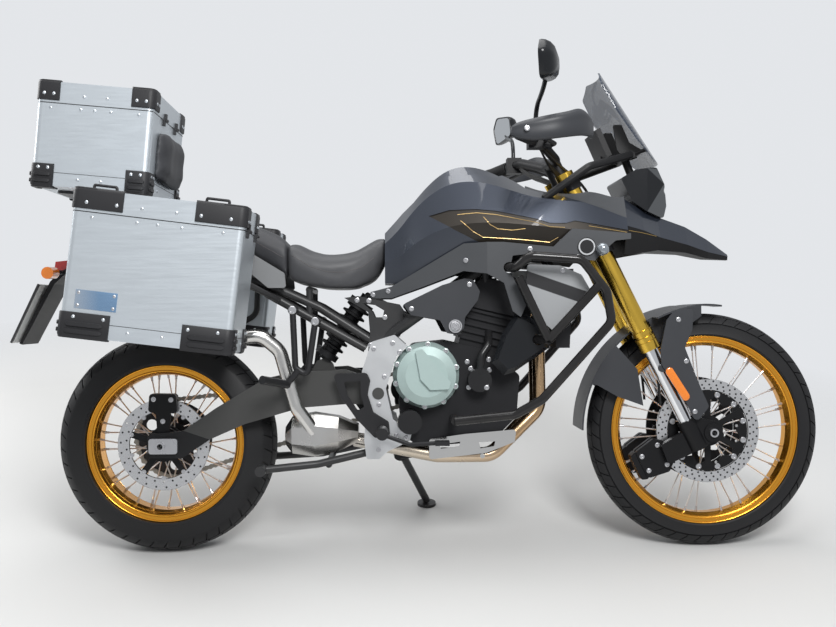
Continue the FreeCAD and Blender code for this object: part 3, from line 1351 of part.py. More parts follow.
def passenger_pegs():
    y = -hanger_y
    inner = -rail_y - rail_radius - gap
    hoop = bent_rod([(384, y, 712), (391, y, 548), (425, y, 526), (448, y, 680)], 9.0, 14.0)
    arm = rod((402, y, 544), (360, y, 496), 10.0)
    mounts = [cross_rod(384, 712, y - 9, inner, 13.0), cross_rod(448, 680, y - 9, inner, 13.0)]
    peg = rod((368, y + 2, 501), (308, -262, 520), 12.0)
    return both_sides(join([hoop, arm, peg] + mounts))


def rear_caliper():
    ax, az = rear_axle
    y = -rear_disc_y
    body = slab([(ax - 40, az + 96), (ax + 44, az + 92), (ax + 40, az + 148), (ax - 36, az + 150)], y - 24,
                y + 10, 10.0)
    slot = cross_rod(ax, az, y - 5, y + 5, rear_disc_radius + 5)
    bracket = slab([(ax - 14, az + 36.5), (ax + 20, az + 39.2), (ax + 24, az + 110), (ax - 20, az + 110)],
                   y - 22, y - 8)
    return join([body.cut(slot), bracket])


# Stands
side_stand_pivot = (pivot_x + 66.0, 150.0, 268.0)
side_stand_foot = (pivot_x + 152.0, 306.0)
stand_eye_half = 13.0


def side_stand():
    top = point(*side_stand_pivot)
    foot_y = side_stand_foot[1]
    ground = foot_y * math.tan(lean)
    foot = point(side_stand_foot[0], foot_y, ground + 14)
    axis = point(*side_stand_axis())
    eye = Part.makeCylinder(22, 2 * stand_eye_half, top - axis * stand_eye_half, axis)
    bore = Part.makeCylinder(8 + running_gap, 80, top - axis * 40, axis)
    normal = point(0, -math.sin(lean), math.cos(lean))
    shoe = Part.makeCylinder(30, 9, point(side_stand_foot[0], foot_y, ground), normal)
    return join([rod(tuple(top), tuple(foot), 12.0), eye, shoe]).cut(bore)


def side_stand_axis():
    ground = side_stand_foot[1] * math.tan(lean)
    down = (point(side_stand_foot[0], side_stand_foot[1], ground) - point(*side_stand_pivot)).normalize()
    back = point(-0.985, 0.12, -0.12).normalize()
    axis = down.cross(back).normalize()
    return (axis.x, axis.y, axis.z)


centre_stand_pivot = (pivot_x - 16.0, 302.0)


def centre_stand():
    """Two legs folded up behind their pivots, joined by a brace and ending in feet."""
    px, pz = centre_stand_pivot
    inner = plate_inner - 2 * gap
    pieces = [cross_rod(px - 128, 266, -118, 118, 10.0)]
    for side in (-1, 1):
        pieces.append(bent_rod([(px, side * (inner - 16), pz), (px - 160, side * 124, 268),
                                (px - 318, side * 148, 256)], 11.0, 60.0))
        pieces.append(cross_rod(px, pz, *sorted((side * (inner - 20), side * inner)), 16.0))
        pieces.append(cross_rod(px - 318, 256, *sorted((side * 140, side * 184)), 15.0))
    return join(pieces).cut(cross_rod(px, pz, -200, 200, 8.0 + running_gap))


def build():
    parts = {}
    parts["frame"] = group([main_frame(), subframe()])
    parts.update(engine_parts())
    parts["pivot_plates"] = pivot_plates()
    parts["swingarm"] = swingarm()
    parts["rear_axle"] = rear_axle_parts()
    parts["rear_shock"] = rear_shock()
    parts["drive_chain"] = drive_chain()
    parts["exhaust"] = group([exhaust(), silencer()])
    parts["crash_bars"] = crash_bars()
    parts["radiator"] = radiator()
    parts.update(tank_parts())
    parts["shrouds"] = shrouds()
    parts["beak"] = beak()
    parts["headlight"] = headlight()
    parts["windscreen"] = windscreen()
    parts["display"] = display()
    parts.update(seats())
    parts["tail_covers"] = tail_covers()
    parts["luggage_racks"] = group([luggage_rack(), pannier_racks()])
    parts["rear_fender"] = rear_fender()
    parts["lamps"] = lamps()
    parts.update(cases())
    parts["footpegs"] = group([footpegs(), passenger_pegs()])
    parts["rear_caliper"] = rear_caliper()
    parts.update(steering_parts())
    parts.update(front_wheel_parts())
    parts.update(rear_wheel_parts())
    parts["side_stand"] = side_stand()
    parts["centre_stand"] = centre_stand()
    return parts


def joint_table():
    """Name, place and axis on the upright machine, and limits in degrees, of each joint in the record."""
    across, steering_axis = (0, 1, 0), (-math.sin(rake), 0, math.cos(rake))
    free, lid = "free", (0, lid_travel)
    return [
        ("steering", (head[0], 0, head[1]), steering_axis, (-steer_lock, steer_lock)),
        ("front_wheel_spin", (front_axle[0], 0, front_axle[1]), across, free),
        ("rear_wheel_spin", (rear_axle[0], 0, rear_axle[1]), across, free),
        ("side_stand_swing", side_stand_pivot, tuple(side_stand_axis()), (0, side_stand_travel)),
        ("centre_stand_swing", (centre_stand_pivot[0], 0, centre_stand_pivot[1]), (0, -1, 0),
         (0, centre_stand_travel)),
        ("right_pannier_lid_hinge", pannier_hinge(-1), across, lid),
        ("left_pannier_lid_hinge", pannier_hinge(1), across, lid),
        ("top_lid_hinge", top_hinge(), across, lid),
    ]


def parked(shape):
    """Lean the upright machine over to its left."""
    result = shape.copy()
    result.rotate(point(0, 0, 0), X_AXIS, -lean_angle)
    return result


def footprint_middle(shapes):
    box = Part.makeCompound(list(shapes)).optimalBoundingBox(False)
    return point((box.XMin + box.XMax) / 2, (box.YMin + box.YMax) / 2, box.ZMin)


nodes = {name: parked(shape) for name, shape in build().items()}
origin_shift = footprint_middle(nodes.values()) * -1

if __name__ == "__main__":
    os.makedirs("parts", exist_ok=True)
    for name, shape in nodes.items():
        shape.translate(origin_shift)
        shape.exportStep("parts/" + name + ".step")
        print(name, len(shape.Solids), shape.isValid(), round(shape.Volume / 1000))
    for row in joint_table():
        print("joint", *row)
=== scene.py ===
# %% [markdown]
# This scene dresses a touring motorcycle that leans on its side stand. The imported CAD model
# gives every rigid piece at its real size and place, in metres, with the ground at z = 0.
# The scene adds finishes, soft upholstery, tyre tread and small fittings around it.

# %% Load the frame
import json
import math

import bmesh
import bpy
from mathutils import Matrix, Vector
from mathutils.bvhtree import BVHTree


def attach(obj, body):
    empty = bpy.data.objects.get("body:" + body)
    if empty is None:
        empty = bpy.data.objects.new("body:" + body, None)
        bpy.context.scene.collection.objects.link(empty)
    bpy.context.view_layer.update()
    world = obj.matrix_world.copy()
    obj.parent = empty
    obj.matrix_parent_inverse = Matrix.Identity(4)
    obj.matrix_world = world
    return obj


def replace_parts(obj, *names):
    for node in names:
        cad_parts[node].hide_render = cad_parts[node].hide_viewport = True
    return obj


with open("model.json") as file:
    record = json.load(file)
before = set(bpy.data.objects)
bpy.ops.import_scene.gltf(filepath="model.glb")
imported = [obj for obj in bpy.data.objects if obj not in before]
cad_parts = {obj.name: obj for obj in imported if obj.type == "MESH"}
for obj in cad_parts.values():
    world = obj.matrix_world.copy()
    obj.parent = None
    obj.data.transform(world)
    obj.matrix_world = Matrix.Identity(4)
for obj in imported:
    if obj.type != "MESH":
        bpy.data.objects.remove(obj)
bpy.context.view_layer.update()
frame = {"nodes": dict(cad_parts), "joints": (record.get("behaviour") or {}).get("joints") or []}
nodes = frame["nodes"]
joints = {joint["name"]: joint for joint in frame["joints"]}
print("nodes", len(nodes))

# %% [markdown]
# The machine leans 13 degrees, so its own axes are turned from the ground's. Everything that
# the scene places is written as on a maker's side view: millimetres ahead of the rear axle,
# to the rider's left, and above the ground. One matrix leans it over with the CAD pieces.

# %% The machine's own axes
lean = math.radians(13.0)
rear_axle_height = 0.32297
rear_axle = Vector(joints["rear_wheel_spin"]["pos_m"])
lean_turn = Matrix.Rotation(-lean, 4, "X")
to_row = Matrix.Translation(rear_axle) @ lean_turn @ Matrix.Translation((0, 0, -rear_axle_height))
from_row = to_row.inverted()
MM = 0.001


def spot(x, y, z):
    """A point of the leaned model, in metres, from upright machine millimetres."""
    return to_row @ (Vector((x, y, z)) * MM)


def way(x, y, z):
    """A direction of the leaned model from one on the upright machine."""
    return (lean_turn @ Vector((x, y, z))).normalized()


def joint_spot(name):
    """A joint's place on the upright machine, in millimetres."""
    return (from_row @ Vector(joints[name]["pos_m"])) / MM


def round_axle(axle, radius, angle, y):
    """A point of the leaned model at a radius and an angle round a wheel's axle."""
    return spot(axle.x + radius * math.cos(angle), y, axle.z + radius * math.sin(angle))


front_axle, rear_centre = joint_spot("front_wheel_spin"), joint_spot("rear_wheel_spin")
head = joint_spot("steering")
pivot_x = 625.0
print("front axle", [round(value) for value in front_axle], "steering head", [round(value) for value in head])

# %% [markdown]
# The photograph was taken from the machine's right at head height, with a normal lens. The
# camera is placed from the rear axle, so it keeps its view if the model's origin moves.

# %% Camera
photo_width, focal_pixels = 836, 1045.2
camera_data = bpy.data.cameras.new("camera")
camera_data.sensor_width = 36.0
camera_data.lens = focal_pixels / photo_width * camera_data.sensor_width
camera = bpy.data.objects.new("camera", camera_data)
camera.location = rear_axle + Vector((0.6620, -2.9797, 1.0703))
camera.rotation_euler = (math.radians(77.10), math.radians(-0.03), math.radians(-1.53))
bpy.context.scene.collection.objects.link(camera)
bpy.context.scene.camera = camera
print("camera lens", round(camera_data.lens, 1), "mm")

# %% [markdown]
# A material here is written as arithmetic. Signal wraps one output of a node, so that a sum
# or a product of signals adds the Math node it needs. Shading adds any other node to a tree
# through a single method, and Finish is the shading of one material, with its sockets by name.

# %% Signals and finishes


class Signal:
    """A number that changes over a surface, with the usual arithmetic."""

    def __init__(self, shading, socket):
        self.shading, self.socket = shading, socket

    def math(self, operation, *others):
        inputs = dict(enumerate((self,) + others))
        return self.shading.add("ShaderNodeMath", {"operation": operation}, inputs)

    def __add__(self, other):
        return self.math("ADD", other)

    def __sub__(self, other):
        return self.math("SUBTRACT", other)

    def __mul__(self, other):
        return self.math("MULTIPLY", other)

    def __truediv__(self, other):
        return self.math("DIVIDE", other)

    def __rsub__(self, other):
        return self.shading.add("ShaderNodeMath", {"operation": "SUBTRACT"}, {0: other, 1: self})

    __radd__ = __add__
    __rmul__ = __mul__

    def abs(self):
        return self.math("ABSOLUTE")

    def step(self, edge, width):
        """0 below the edge, 1 above it, with a soft change of the given width."""
        return ((self - edge) / width + 0.5).clamp()

    def band(self, low, high, width):
        return self.step(low, width) * (1 - self.step(high, width))

    def clamp(self):
        return self.shading.add("ShaderNodeClamp", {}, {"Value": self})

    def repeat(self, period):
        return (self / period).math("FRACT")


def radius_of(across, up):
    """The distance to the point where two signals are 0."""
    return (across * across + up * up).math("SQRT")


def crosshatch(x, z, period, low, high, width):
    """1 in the cells between two sets of slanting lines."""
    return (x + z).repeat(period).band(low, high, width) * (x - z).repeat(period).band(low, high, width)


class Shading:
    """A shader tree with one method for every kind of node."""

    def __init__(self, tree):
        self.tree = tree

    def add(self, kind, settings, inputs, output=0):
        node = self.tree.nodes.new(kind)
        for key, value in settings.items():
            if key == "stops":
                ramp = node.color_ramp
                while len(ramp.elements) < len(value):
                    ramp.elements.new(1.0)
                for element, (position, color) in zip(ramp.elements, value):
                    element.position, element.color = position, color
            else:
                setattr(node, key, value)
        for key, value in inputs.items():
            self.feed(node.inputs[key], value)
        return Signal(self, node.outputs[output])

    def feed(self, socket, value):
        if isinstance(value, Signal):
            self.tree.links.new(value.socket, socket)
        elif socket.type == "RGBA" and len(value) == 3:
            socket.default_value = (*value, 1.0)
        else:
            socket.default_value = value


class Finish(Shading):
    """One material, with the shader's own sockets set by name."""

    def __init__(self, name, color, roughness, metallic=0.0, **fixed):
        self.material = bpy.data.materials.new(name)
        self.material.use_nodes = True
        super().__init__(self.material.node_tree)
        self.shader = self.tree.nodes["Principled BSDF"]
        sockets = {"Base_Color": color, "Roughness": roughness, "Metallic": metallic, **fixed}
        for socket, value in sockets.items():
            self.set(socket.replace("_", " "), value)

    def set(self, name, value):
        self.feed(self.shader.inputs[name], value)
        return self

    def at(self):
        """Object coordinates on the upright machine in metres, as a vector and its x, y and z."""
        coordinates = self.add("ShaderNodeTexCoord", {}, {}, "Object")
        origin = tuple(spot(0, 0, 0))
        moved = self.add("ShaderNodeVectorMath", {"operation": "SUBTRACT"}, {0: coordinates, 1: origin})
        turned = self.add("ShaderNodeMapping", {}, {"Vector": moved, "Rotation": (lean, 0.0, 0.0)})
        split = self.tree.nodes.new("ShaderNodeSeparateXYZ")
        self.feed(split.inputs[0], turned)
        return turned, *(Signal(self, split.outputs[i]) for i in range(3))

    def noise(self, vector, scale, detail=3.0, stretch=None):
        if stretch:
            vector = self.add("ShaderNodeMapping", {}, {"Vector": vector, "Scale": stretch})
        return self.add("ShaderNodeTexNoise", {}, {"Vector": vector, "Scale": scale, "Detail": detail}, "Fac")

    def mix(self, factor, first, second):
        """A colour between two, by a factor from 0 to 1."""
        return self.add("ShaderNodeMix", {"data_type": "RGBA"}, {0: factor, 6: first, 7: second}, 2)

    def bump(self, height, strength, distance):
        normal = self.add("ShaderNodeBump", {}, {"Height": height, "Strength": strength, "Distance": distance})
        return self.set("Normal", normal)


# %% [markdown]
# A CAD node takes one finish for all of it, and another for some of its faces. Those faces
# are those of one of its solids, or are found by where they lie on the upright machine.

# %% Dressing the CAD nodes


def dress(finish, *names):
    """Give whole CAD nodes one finish."""
    for name in names:
        materials = nodes[name].data.materials
        materials.clear()
        materials.append(finish.material)


def dress_faces(finish, name, faces):
    """Give some faces of a CAD node a second finish in a slot of their own."""
    mesh = nodes[name].data
    mesh.materials.append(finish.material)
    for index in faces:
        mesh.polygons[index].material_index = len(mesh.materials) - 1


def faces_where(name, test, among=None):
    """The faces of a CAD node, or of some of them, whose middle in upright millimetres passes a test."""
    polygons = nodes[name].data.polygons
    chosen = polygons if among is None else [polygons[index] for index in among]
    return [face.index for face in chosen if test((from_row @ face.center) / MM)]


def near(place, x, z, radius):
    """Whether a place lies inside a circle of the side view."""
    return math.hypot(place.x - x, place.z - z) < radius


def solid_faces(name):
    """The faces of each separate solid of a CAD node, as lists in the order of the STEP file."""
    mesh = nodes[name].data
    keys, owner = {}, []
    for vertex in mesh.vertices:
        owner.append(keys.setdefault(tuple(round(c, 5) for c in vertex.co), vertex.index))
    parent = list(range(len(owner)))

    def root(i):
        while parent[i] != i:
            parent[i] = parent[parent[i]]
            i = parent[i]
        return i

    for face in mesh.polygons:
        first = root(owner[face.vertices[0]])
        for corner in face.vertices[1:]:
            parent[root(owner[corner])] = first
    groups = {}
    for face in mesh.polygons:
        groups.setdefault(root(owner[face.vertices[0]]), []).append(face.index)
    print(name, "has", len(groups), "solids")
    return list(groups.values())


# %% [markdown]
# Most metal on a machine like this is painted, cast or bent tube. Powder coat has a fine
# orange-peel bump, cast alloy a coarser grain, and both gather a little dust in patches.

# %% Painted, cast and moulded finishes


def powder_coat(name, color, roughness):
    """Baked paint: a fine bump and patches of dust."""
    finish = Finish(name, color, roughness, Specular_IOR_Level=0.35)
    vector, *_ = finish.at()
    dust = finish.noise(vector, 9.0)
    finish.set("Base Color", finish.mix(dust * 0.16, color, (0.16, 0.15, 0.14)))
    finish.set("Roughness", dust * 0.16 + (roughness - 0.06))
    return finish.bump(finish.noise(vector, 900.0, 1.0), 0.10, 0.0004)


def cast_metal(name, color, roughness, metallic=0.9):
    """Cast or bare metal, or paint on it: uneven shade over a coarse grain."""
    finish = Finish(name, color, roughness, metallic, Specular_IOR_Level=0.3)
    vector, *_ = finish.at()
    shade = finish.noise(vector, 22.0)
    finish.set("Base Color", finish.mix(shade * 0.35, color, tuple(0.6 * c for c in color)))
    finish.set("Roughness", shade * 0.2 + (roughness - 0.08))
    return finish.bump(finish.noise(vector, 700.0, 2.0), 0.22, 0.0005)


def moulded_plastic(name, color, roughness, grain=420.0):
    """Plastic or rubber with the mould's grain, paler where it is worn."""
    finish = Finish(name, color, roughness, Specular_IOR_Level=0.3)
    vector, *_ = finish.at()
    wear = finish.noise(vector, 7.0)
    finish.set("Base Color", finish.mix(wear * 0.2, color, tuple(min(1.0, c * 1.8 + 0.01) for c in color)))
    finish.set("Roughness", wear * 0.15 + (roughness - 0.06))
    return finish.bump(finish.noise(vector, grain, 2.0), 0.25, 0.0004)


def anodised(name, color, roughness):
    """Dyed aluminium: fully metallic, with a faint uneven tone."""
    finish = Finish(name, color, roughness, 1.0)
    vector, *_ = finish.at()
    shade = finish.noise(vector, 14.0)
    finish.set("Base Color", finish.mix(shade * 0.3, color, tuple(0.75 * c for c in color)))
    finish.set("Roughness", shade * 0.12 + (roughness - 0.04))
    return finish


frame_paint = powder_coat("frame paint", (0.020, 0.021, 0.023), 0.34)
gloss_tube = powder_coat("gloss black tube", (0.006, 0.006, 0.007), 0.12)
engine_paint = cast_metal("engine paint", (0.018, 0.018, 0.020), 0.46, 0.4)
cover_paint = cast_metal("cover paint", (0.42, 0.53, 0.51), 0.4, 0.2)
cast_silver = cast_metal("cast silver", (0.74, 0.75, 0.76), 0.32)
swingarm_paint = cast_metal("swingarm paint", (0.078, 0.078, 0.076), 0.4, 0.4)
bracket_paint = cast_metal("bracket paint", (0.030, 0.030, 0.032), 0.4, 0.4)
black_plastic = moulded_plastic("black plastic", (0.008, 0.008, 0.009), 0.46)
grey_plastic = moulded_plastic("grey plastic", (0.060, 0.063, 0.068), 0.36)
dark_plastic = moulded_plastic("dark grey plastic", (0.038, 0.040, 0.045), 0.38)
tail_plastic = moulded_plastic("tail plastic", (0.20, 0.205, 0.21), 0.34)
gloss_plastic = moulded_plastic("gloss plastic", (0.010, 0.011, 0.013), 0.16, 1500.0)
steel = cast_metal("bare steel", (0.62, 0.62, 0.64), 0.26)
spoke_steel = Finish("spoke steel", (0.86, 0.86, 0.88), 0.32, 0.65)
chrome = Finish("chrome", (0.82, 0.83, 0.85), 0.07, 1.0)
black_metal = cast_metal("black metal", (0.012, 0.012, 0.013), 0.36, 0.4)
hub_metal = cast_metal("hub metal", (0.05, 0.05, 0.052), 0.38)
gold_tube = anodised("gold anodised tube", (0.80, 0.52, 0.08), 0.22)
gold_rim = anodised("gold anodised rim", (0.90, 0.42, 0.05), 0.2)
gold_line = Finish("gold line", (0.62, 0.42, 0.16), 0.3, 0.5)

dress(frame_paint, "frame", "luggage_racks", "side_stand", "centre_stand")
dress(gloss_tube, "crash_bars")
dress(engine_paint, "engine_block", "radiator", "triple_clamps")
dress(cast_silver, "pivot_plates")
dress(swingarm_paint, "swingarm")
dress(bracket_paint, "footpegs", "rear_shock")
dress(black_plastic, "display", "handlebar", "rear_fender", "lamps")
dress(gloss_plastic, "headlight")
dress(dark_plastic, "front_fender")
dress(tail_plastic, "tail_covers")
dress(steel, "rear_axle", "front_axle", "drive_chain")
dress(black_metal, "fork_lowers", "front_calipers", "rear_caliper")
dress(gold_tube, "fork_tubes")
dress(gold_rim, "front_rim", "rear_rim")
print("finishes", [material.name for material in bpy.data.materials])

# %% [markdown]
# One node can hold several solids with different finishes. Here the engine's covers are told
# apart: the clutch cover is pale grey-green, and the oil filter, pump and sprocket cover black.

# %% Engine covers by solid
dress(cover_paint, "engine_covers")
cover_solids = solid_faces("engine_covers")
filter_lacquer = moulded_plastic("filter lacquer", (0.015, 0.015, 0.016), 0.25)
dress_faces(filter_lacquer, "engine_covers", sum(cover_solids[1:3], []))
dress_faces(engine_paint, "engine_covers", sum(cover_solids[3:], []))

# %% [markdown]
# The exhaust is stainless steel. Heat colours it: straw and tan near the engine, and plain
# satin steel at the silencer. A polished shield covers the pipe beside the footrest.

# %% Stainless exhaust
exhaust_steel = Finish("stainless", (0.55, 0.52, 0.49), 0.3, 1.0)
vector, x, y, z = exhaust_steel.at()
heat = (x - 0.55) * 1.5 + exhaust_steel.noise(vector, 6.0) * 0.3
tint = exhaust_steel.add("ShaderNodeValToRGB", {"stops": [
    (0.0, (0.66, 0.65, 0.63, 1)), (0.42, (0.62, 0.54, 0.44, 1)), (0.9, (0.56, 0.38, 0.22, 1))]}, {"Fac": heat})
exhaust_steel.set("Base Color", tint)
exhaust_steel.set("Roughness", exhaust_steel.noise(vector, 30.0) * 0.2 + 0.14)
dress(exhaust_steel, "exhaust")
polished = Finish("polished shield", (0.78, 0.77, 0.75), 0.12, 1.0)
vector, *_ = polished.at()
polished.set("Roughness", polished.noise(vector, 160.0, 2.0, (0.06, 1.0, 1.0)) * 0.16 + 0.06)
shield_y, shield_top, shield_rear = -126.5, 380.0, pivot_x + 100.0
shield = faces_where("exhaust", lambda c: c.y < shield_y and c.z < shield_top and c.x > shield_rear)
dress_faces(polished, "exhaust", shield)
print("shield faces", len(shield))

# %% [markdown]
# The upper panels are a dark metallic blue-grey. A metallic coat has flakes in the colour
# coat and a clear gloss coat over it, which the shader has as its own coat layer. The tank has
# a plain black strip along its top, so its paint is a mask on y. The inlay below the shoulder
# is dark bronze, and the strip over it is satin grey.

# %% Metallic panels
satin_black = (0.014, 0.014, 0.015)


def flaked(finish, vector):
    """The colour coat of the panels, with its metal flakes."""
    return finish.mix(finish.noise(vector, 2600.0, 1.0) * 0.6, (0.016, 0.021, 0.032), (0.075, 0.088, 0.12))


panel_paint = Finish("metallic panel", (0.03, 0.036, 0.05), 0.32, 0.6, Coat_Weight=0.9, Coat_Roughness=0.04)
vector, *_ = panel_paint.at()
panel_paint.set("Base Color", flaked(panel_paint, vector))
bronze_paint = Finish("bronze inlay", (0.04, 0.03, 0.02), 0.4, 0.5, Coat_Weight=0.3)
vector, x, y, z = bronze_paint.at()
weave = crosshatch(x, z, 0.006, 0.1, 0.5, 0.2)
bronze_paint.set("Base Color", bronze_paint.mix(weave, (0.022, 0.018, 0.014), (0.050, 0.039, 0.027)))
dress(panel_paint, "side_panels")
panel_solids = solid_faces("side_panels")
dress_faces(bronze_paint, "side_panels", panel_solids[1] + panel_solids[4])
dress_faces(grey_plastic, "side_panels", panel_solids[2] + panel_solids[5])
tank_paint = Finish("tank paint", (0.03, 0.036, 0.05), 0.32, 0.6, Coat_Roughness=0.04)
vector, x, y, z = tank_paint.at()
beside = y.abs().step(0.060, 0.001)
tank_paint.set("Base Color", tank_paint.mix(beside, satin_black, flaked(tank_paint, vector)))
tank_paint.set("Metallic", beside * 0.6)
tank_paint.set("Coat Weight", beside * 0.9)
tank_paint.set("Roughness", beside * -0.1 + 0.42)
dress(tank_paint, "tank")
dress(panel_paint, "beak")
dress_faces(black_plastic, "beak", solid_faces("beak")[1])

# %% [markdown]
# Below the tank a grey rail runs to a badge panel. The radiator cowl is pale satin with a
# dark band, the lower fairing and the engine's side cover are dark plastic. The badge is left
# blank: a bright ring round a black disc, drawn from the distance to its middle.

# %% Shrouds, cowls and badge
cowl_paint = Finish("cowl paint", (0.36, 0.37, 0.38), 0.4, 0.3)
vector, x, y, z = cowl_paint.at()
band = (z + x * 0.35).band(1.148, 1.186, 0.002)
cowl_paint.set("Base Color", cowl_paint.mix(band, (0.34, 0.35, 0.36), (0.02, 0.02, 0.022)))
badge_x, badge_z, badge_radius, badge_face_y = pivot_x + 590.0, 886.0, 26.0, 214.5
badge = Finish("blank badge", (0.02, 0.02, 0.02), 0.25, 0.3)
vector, x, y, z = badge.at()
ring = radius_of(x - badge_x * MM, z - badge_z * MM).band(0.0195, 0.0235, 0.0006)
badge.set("Base Color", badge.mix(ring, (0.012, 0.012, 0.013), (0.78, 0.79, 0.80)))
badge.set("Metallic", ring)
dress(grey_plastic, "shrouds")
shroud_solids = solid_faces("shrouds")
badge_panels, cowls, fairings, side_covers = (sum(shroud_solids[i:i + 2], []) for i in (0, 2, 4, 6))
dress_faces(cowl_paint, "shrouds", cowls)
dress_faces(gloss_plastic, "shrouds", fairings)
dress_faces(dark_plastic, "shrouds", side_covers)
dress_faces(badge, "shrouds", faces_where(
    "shrouds", lambda c: near(c, badge_x, badge_z, badge_radius + 1) and abs(c.y) > badge_face_y, badge_panels))
side_bolt_x, side_bolt_z, side_cover_y = pivot_x + 221.0, 664.0, 169.0
dress_faces(steel, "shrouds", faces_where(
    "shrouds", lambda c: near(c, side_bolt_x, side_bolt_z, 20.0) and abs(c.y) > side_cover_y, side_covers))

# %% [markdown]
# The screen is a thin tinted sheet. It is mostly transparent with a clear reflection. The
# headlight has a clear lens in front of a black housing, with two round projectors in it.

# %% Screen and lens
screen = Finish("screen", (0.016, 0.030, 0.058), 0.03, 0.0, Alpha=0.56, IOR=1.45)
dress(screen, "windscreen")
lens = Finish("lens", (0.30, 0.32, 0.34), 0.05, 0.0, Coat_Weight=1.0)
vector, x, y, z = lens.at()
projector = radius_of(y.abs() - 0.046, z - (head.z + 92.0) * MM)
bowl = lens.mix(projector.band(0.024, 0.029, 0.002), (0.05, 0.055, 0.06), (0.75, 0.77, 0.79))
glow = projector.band(-1.0, 0.020, 0.002)
lens.set("Base Color", lens.mix(glow, bowl, (0.55, 0.60, 0.65)))
lens_front = head.x + 232.0
lens_faces = faces_where("headlight", lambda c: c.x > lens_front)
dress_faces(lens, "headlight", lens_faces)
print("lens faces", len(lens_faces))

# %% [markdown]
# The cases are folded aluminium sheet. Brushing runs along the machine, so the bump is a
# noise stretched along x. The corner guards are black mouldings on the same solid, so their
# faces are found by how far they stand out from the plain box with its rounded edges.

# %% Aluminium cases
sheet = Finish("brushed sheet", (0.66, 0.71, 0.75), 0.36, 0.75)
vector, *_ = sheet.at()
grain = sheet.noise(vector, 240.0, 2.0, (0.05, 1.0, 1.0))
sheet.set("Base Color", sheet.mix(grain * 0.4, (0.68, 0.73, 0.77), (0.58, 0.63, 0.67)))
sheet.set("Roughness", grain * 0.25 + 0.26)
sheet.bump(grain, 0.08, 0.0004)
guard_plastic = moulded_plastic("guard plastic", (0.022, 0.022, 0.024), 0.46)

case_corner, lid_gap, guard_edge = 16.0, 0.6, 0.6
# Columns: node, body of the lid, length, width, box height, lid height, corner x, y and z, tilt
case_table = (
    ("pannier_right", "right_pannier_lid", 438.0, 245.0, 318.0, 56.0, (-181.0, -481.0, 652.0), 7.0),
    ("pannier_left", "left_pannier_lid", 438.0, 245.0, 318.0, 56.0, (-181.0, 236.0, 652.0), 7.0),
    ("top_case", "top_lid", 322.0, 424.0, 232.0, 58.0, (-338.0, -212.0, 1066.0), 5.0),
)


class Case:
    """One case's own axes: along, across and up from its lower rear right corner."""

    def __init__(self, node, lid_body, length, width, box_height, lid_height, corner, tilt):
        self.node, self.lid_body = node, lid_body
        self.length, self.width, self.box_height = length, width, box_height
        self.top = box_height + lid_gap + lid_height
        self.frame = (to_row @ Matrix.Scale(MM, 4) @ Matrix.Translation(corner)
                      @ Matrix.Rotation(math.radians(tilt), 4, "Y"))
        self.inverse = self.frame.inverted()

    def at(self, x, y, z):
        return self.frame @ Vector((x, y, z))

    def turn(self, x, y, z):
        return (self.frame.to_3x3() @ Vector((x, y, z))).normalized()

    def stands_out(self, place):
        """How far a point lies outside the plain box."""
        own = self.inverse @ place
        qx = abs(own.x - self.length / 2) - self.length / 2 + case_corner
        qy = abs(own.y - self.width / 2) - self.width / 2 + case_corner
        side = math.hypot(max(qx, 0), max(qy, 0)) + min(max(qx, qy), 0) - case_corner
        return max(side, -own.z, own.z - self.top)


cases = [Case(*row) for row in case_table]
panniers, top_case = cases[:2], cases[2]
for case in cases:
    for name in (case.node, case.node + "_lid"):
        dress(sheet, name)
        raised = [face.index for face in nodes[name].data.polygons if case.stands_out(face.center) > guard_edge]
        dress_faces(guard_plastic, name, raised)
        print(name, "guard faces", len(raised))

# %% [markdown]
# Tyre rubber is a very dark grey with a soft sheen. Seat vinyl has a fine leather grain.

# %% Rubber and vinyl
rubber = moulded_plastic("tyre rubber", (0.011, 0.011, 0.012), 0.5, 260.0)
vinyl = moulded_plastic("seat vinyl", (0.055, 0.056, 0.06), 0.42, 330.0)
rear_vinyl = moulded_plastic("rear seat vinyl", (0.042, 0.043, 0.047), 0.5, 700.0)

# %% [markdown]
# Every added piece goes through one function. It gives the mesh its finish, smooths the faces
# that meet at a small angle, and puts the piece on the body that carries it. Most meshes are
# skins over rings of points, with their doubles merged and their faces turned outwards.

# %% Adding a piece


def piece(name, mesh, body, finish, sharp=35.0):
    """Put a mesh in the scene as one piece of a body, smooth except for its sharp edges."""
    obj = bpy.data.objects.new(name, mesh)
    bpy.context.scene.collection.objects.link(obj)
    mesh.materials.clear()
    mesh.materials.append(finish.material)
    mesh.shade_smooth()
    mesh.set_sharp_from_angle(angle=math.radians(sharp))
    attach(obj, body)
    print(name, len(mesh.polygons), "faces")
    return obj


def raw_mesh(name, points, faces):
    """A mesh from points already in the leaned model's metres."""
    mesh = bpy.data.meshes.new(name)
    mesh.from_pydata([tuple(point) for point in points], [], faces)
    shape = bmesh.new()
    shape.from_mesh(mesh)
    bmesh.ops.remove_doubles(shape, verts=shape.verts, dist=1e-6)
    bmesh.ops.recalc_face_normals(shape, faces=shape.faces)
    shape.to_mesh(mesh)
    shape.free()
    return mesh


def joined(name, meshes):
    """One mesh from several, with their materials left behind."""
    shape = bmesh.new()
    for mesh in meshes:
        shape.from_mesh(mesh)
    result = bpy.data.meshes.new(name)
    shape.to_mesh(result)
    shape.free()
    for mesh in meshes:
        bpy.data.meshes.remove(mesh)
    return result


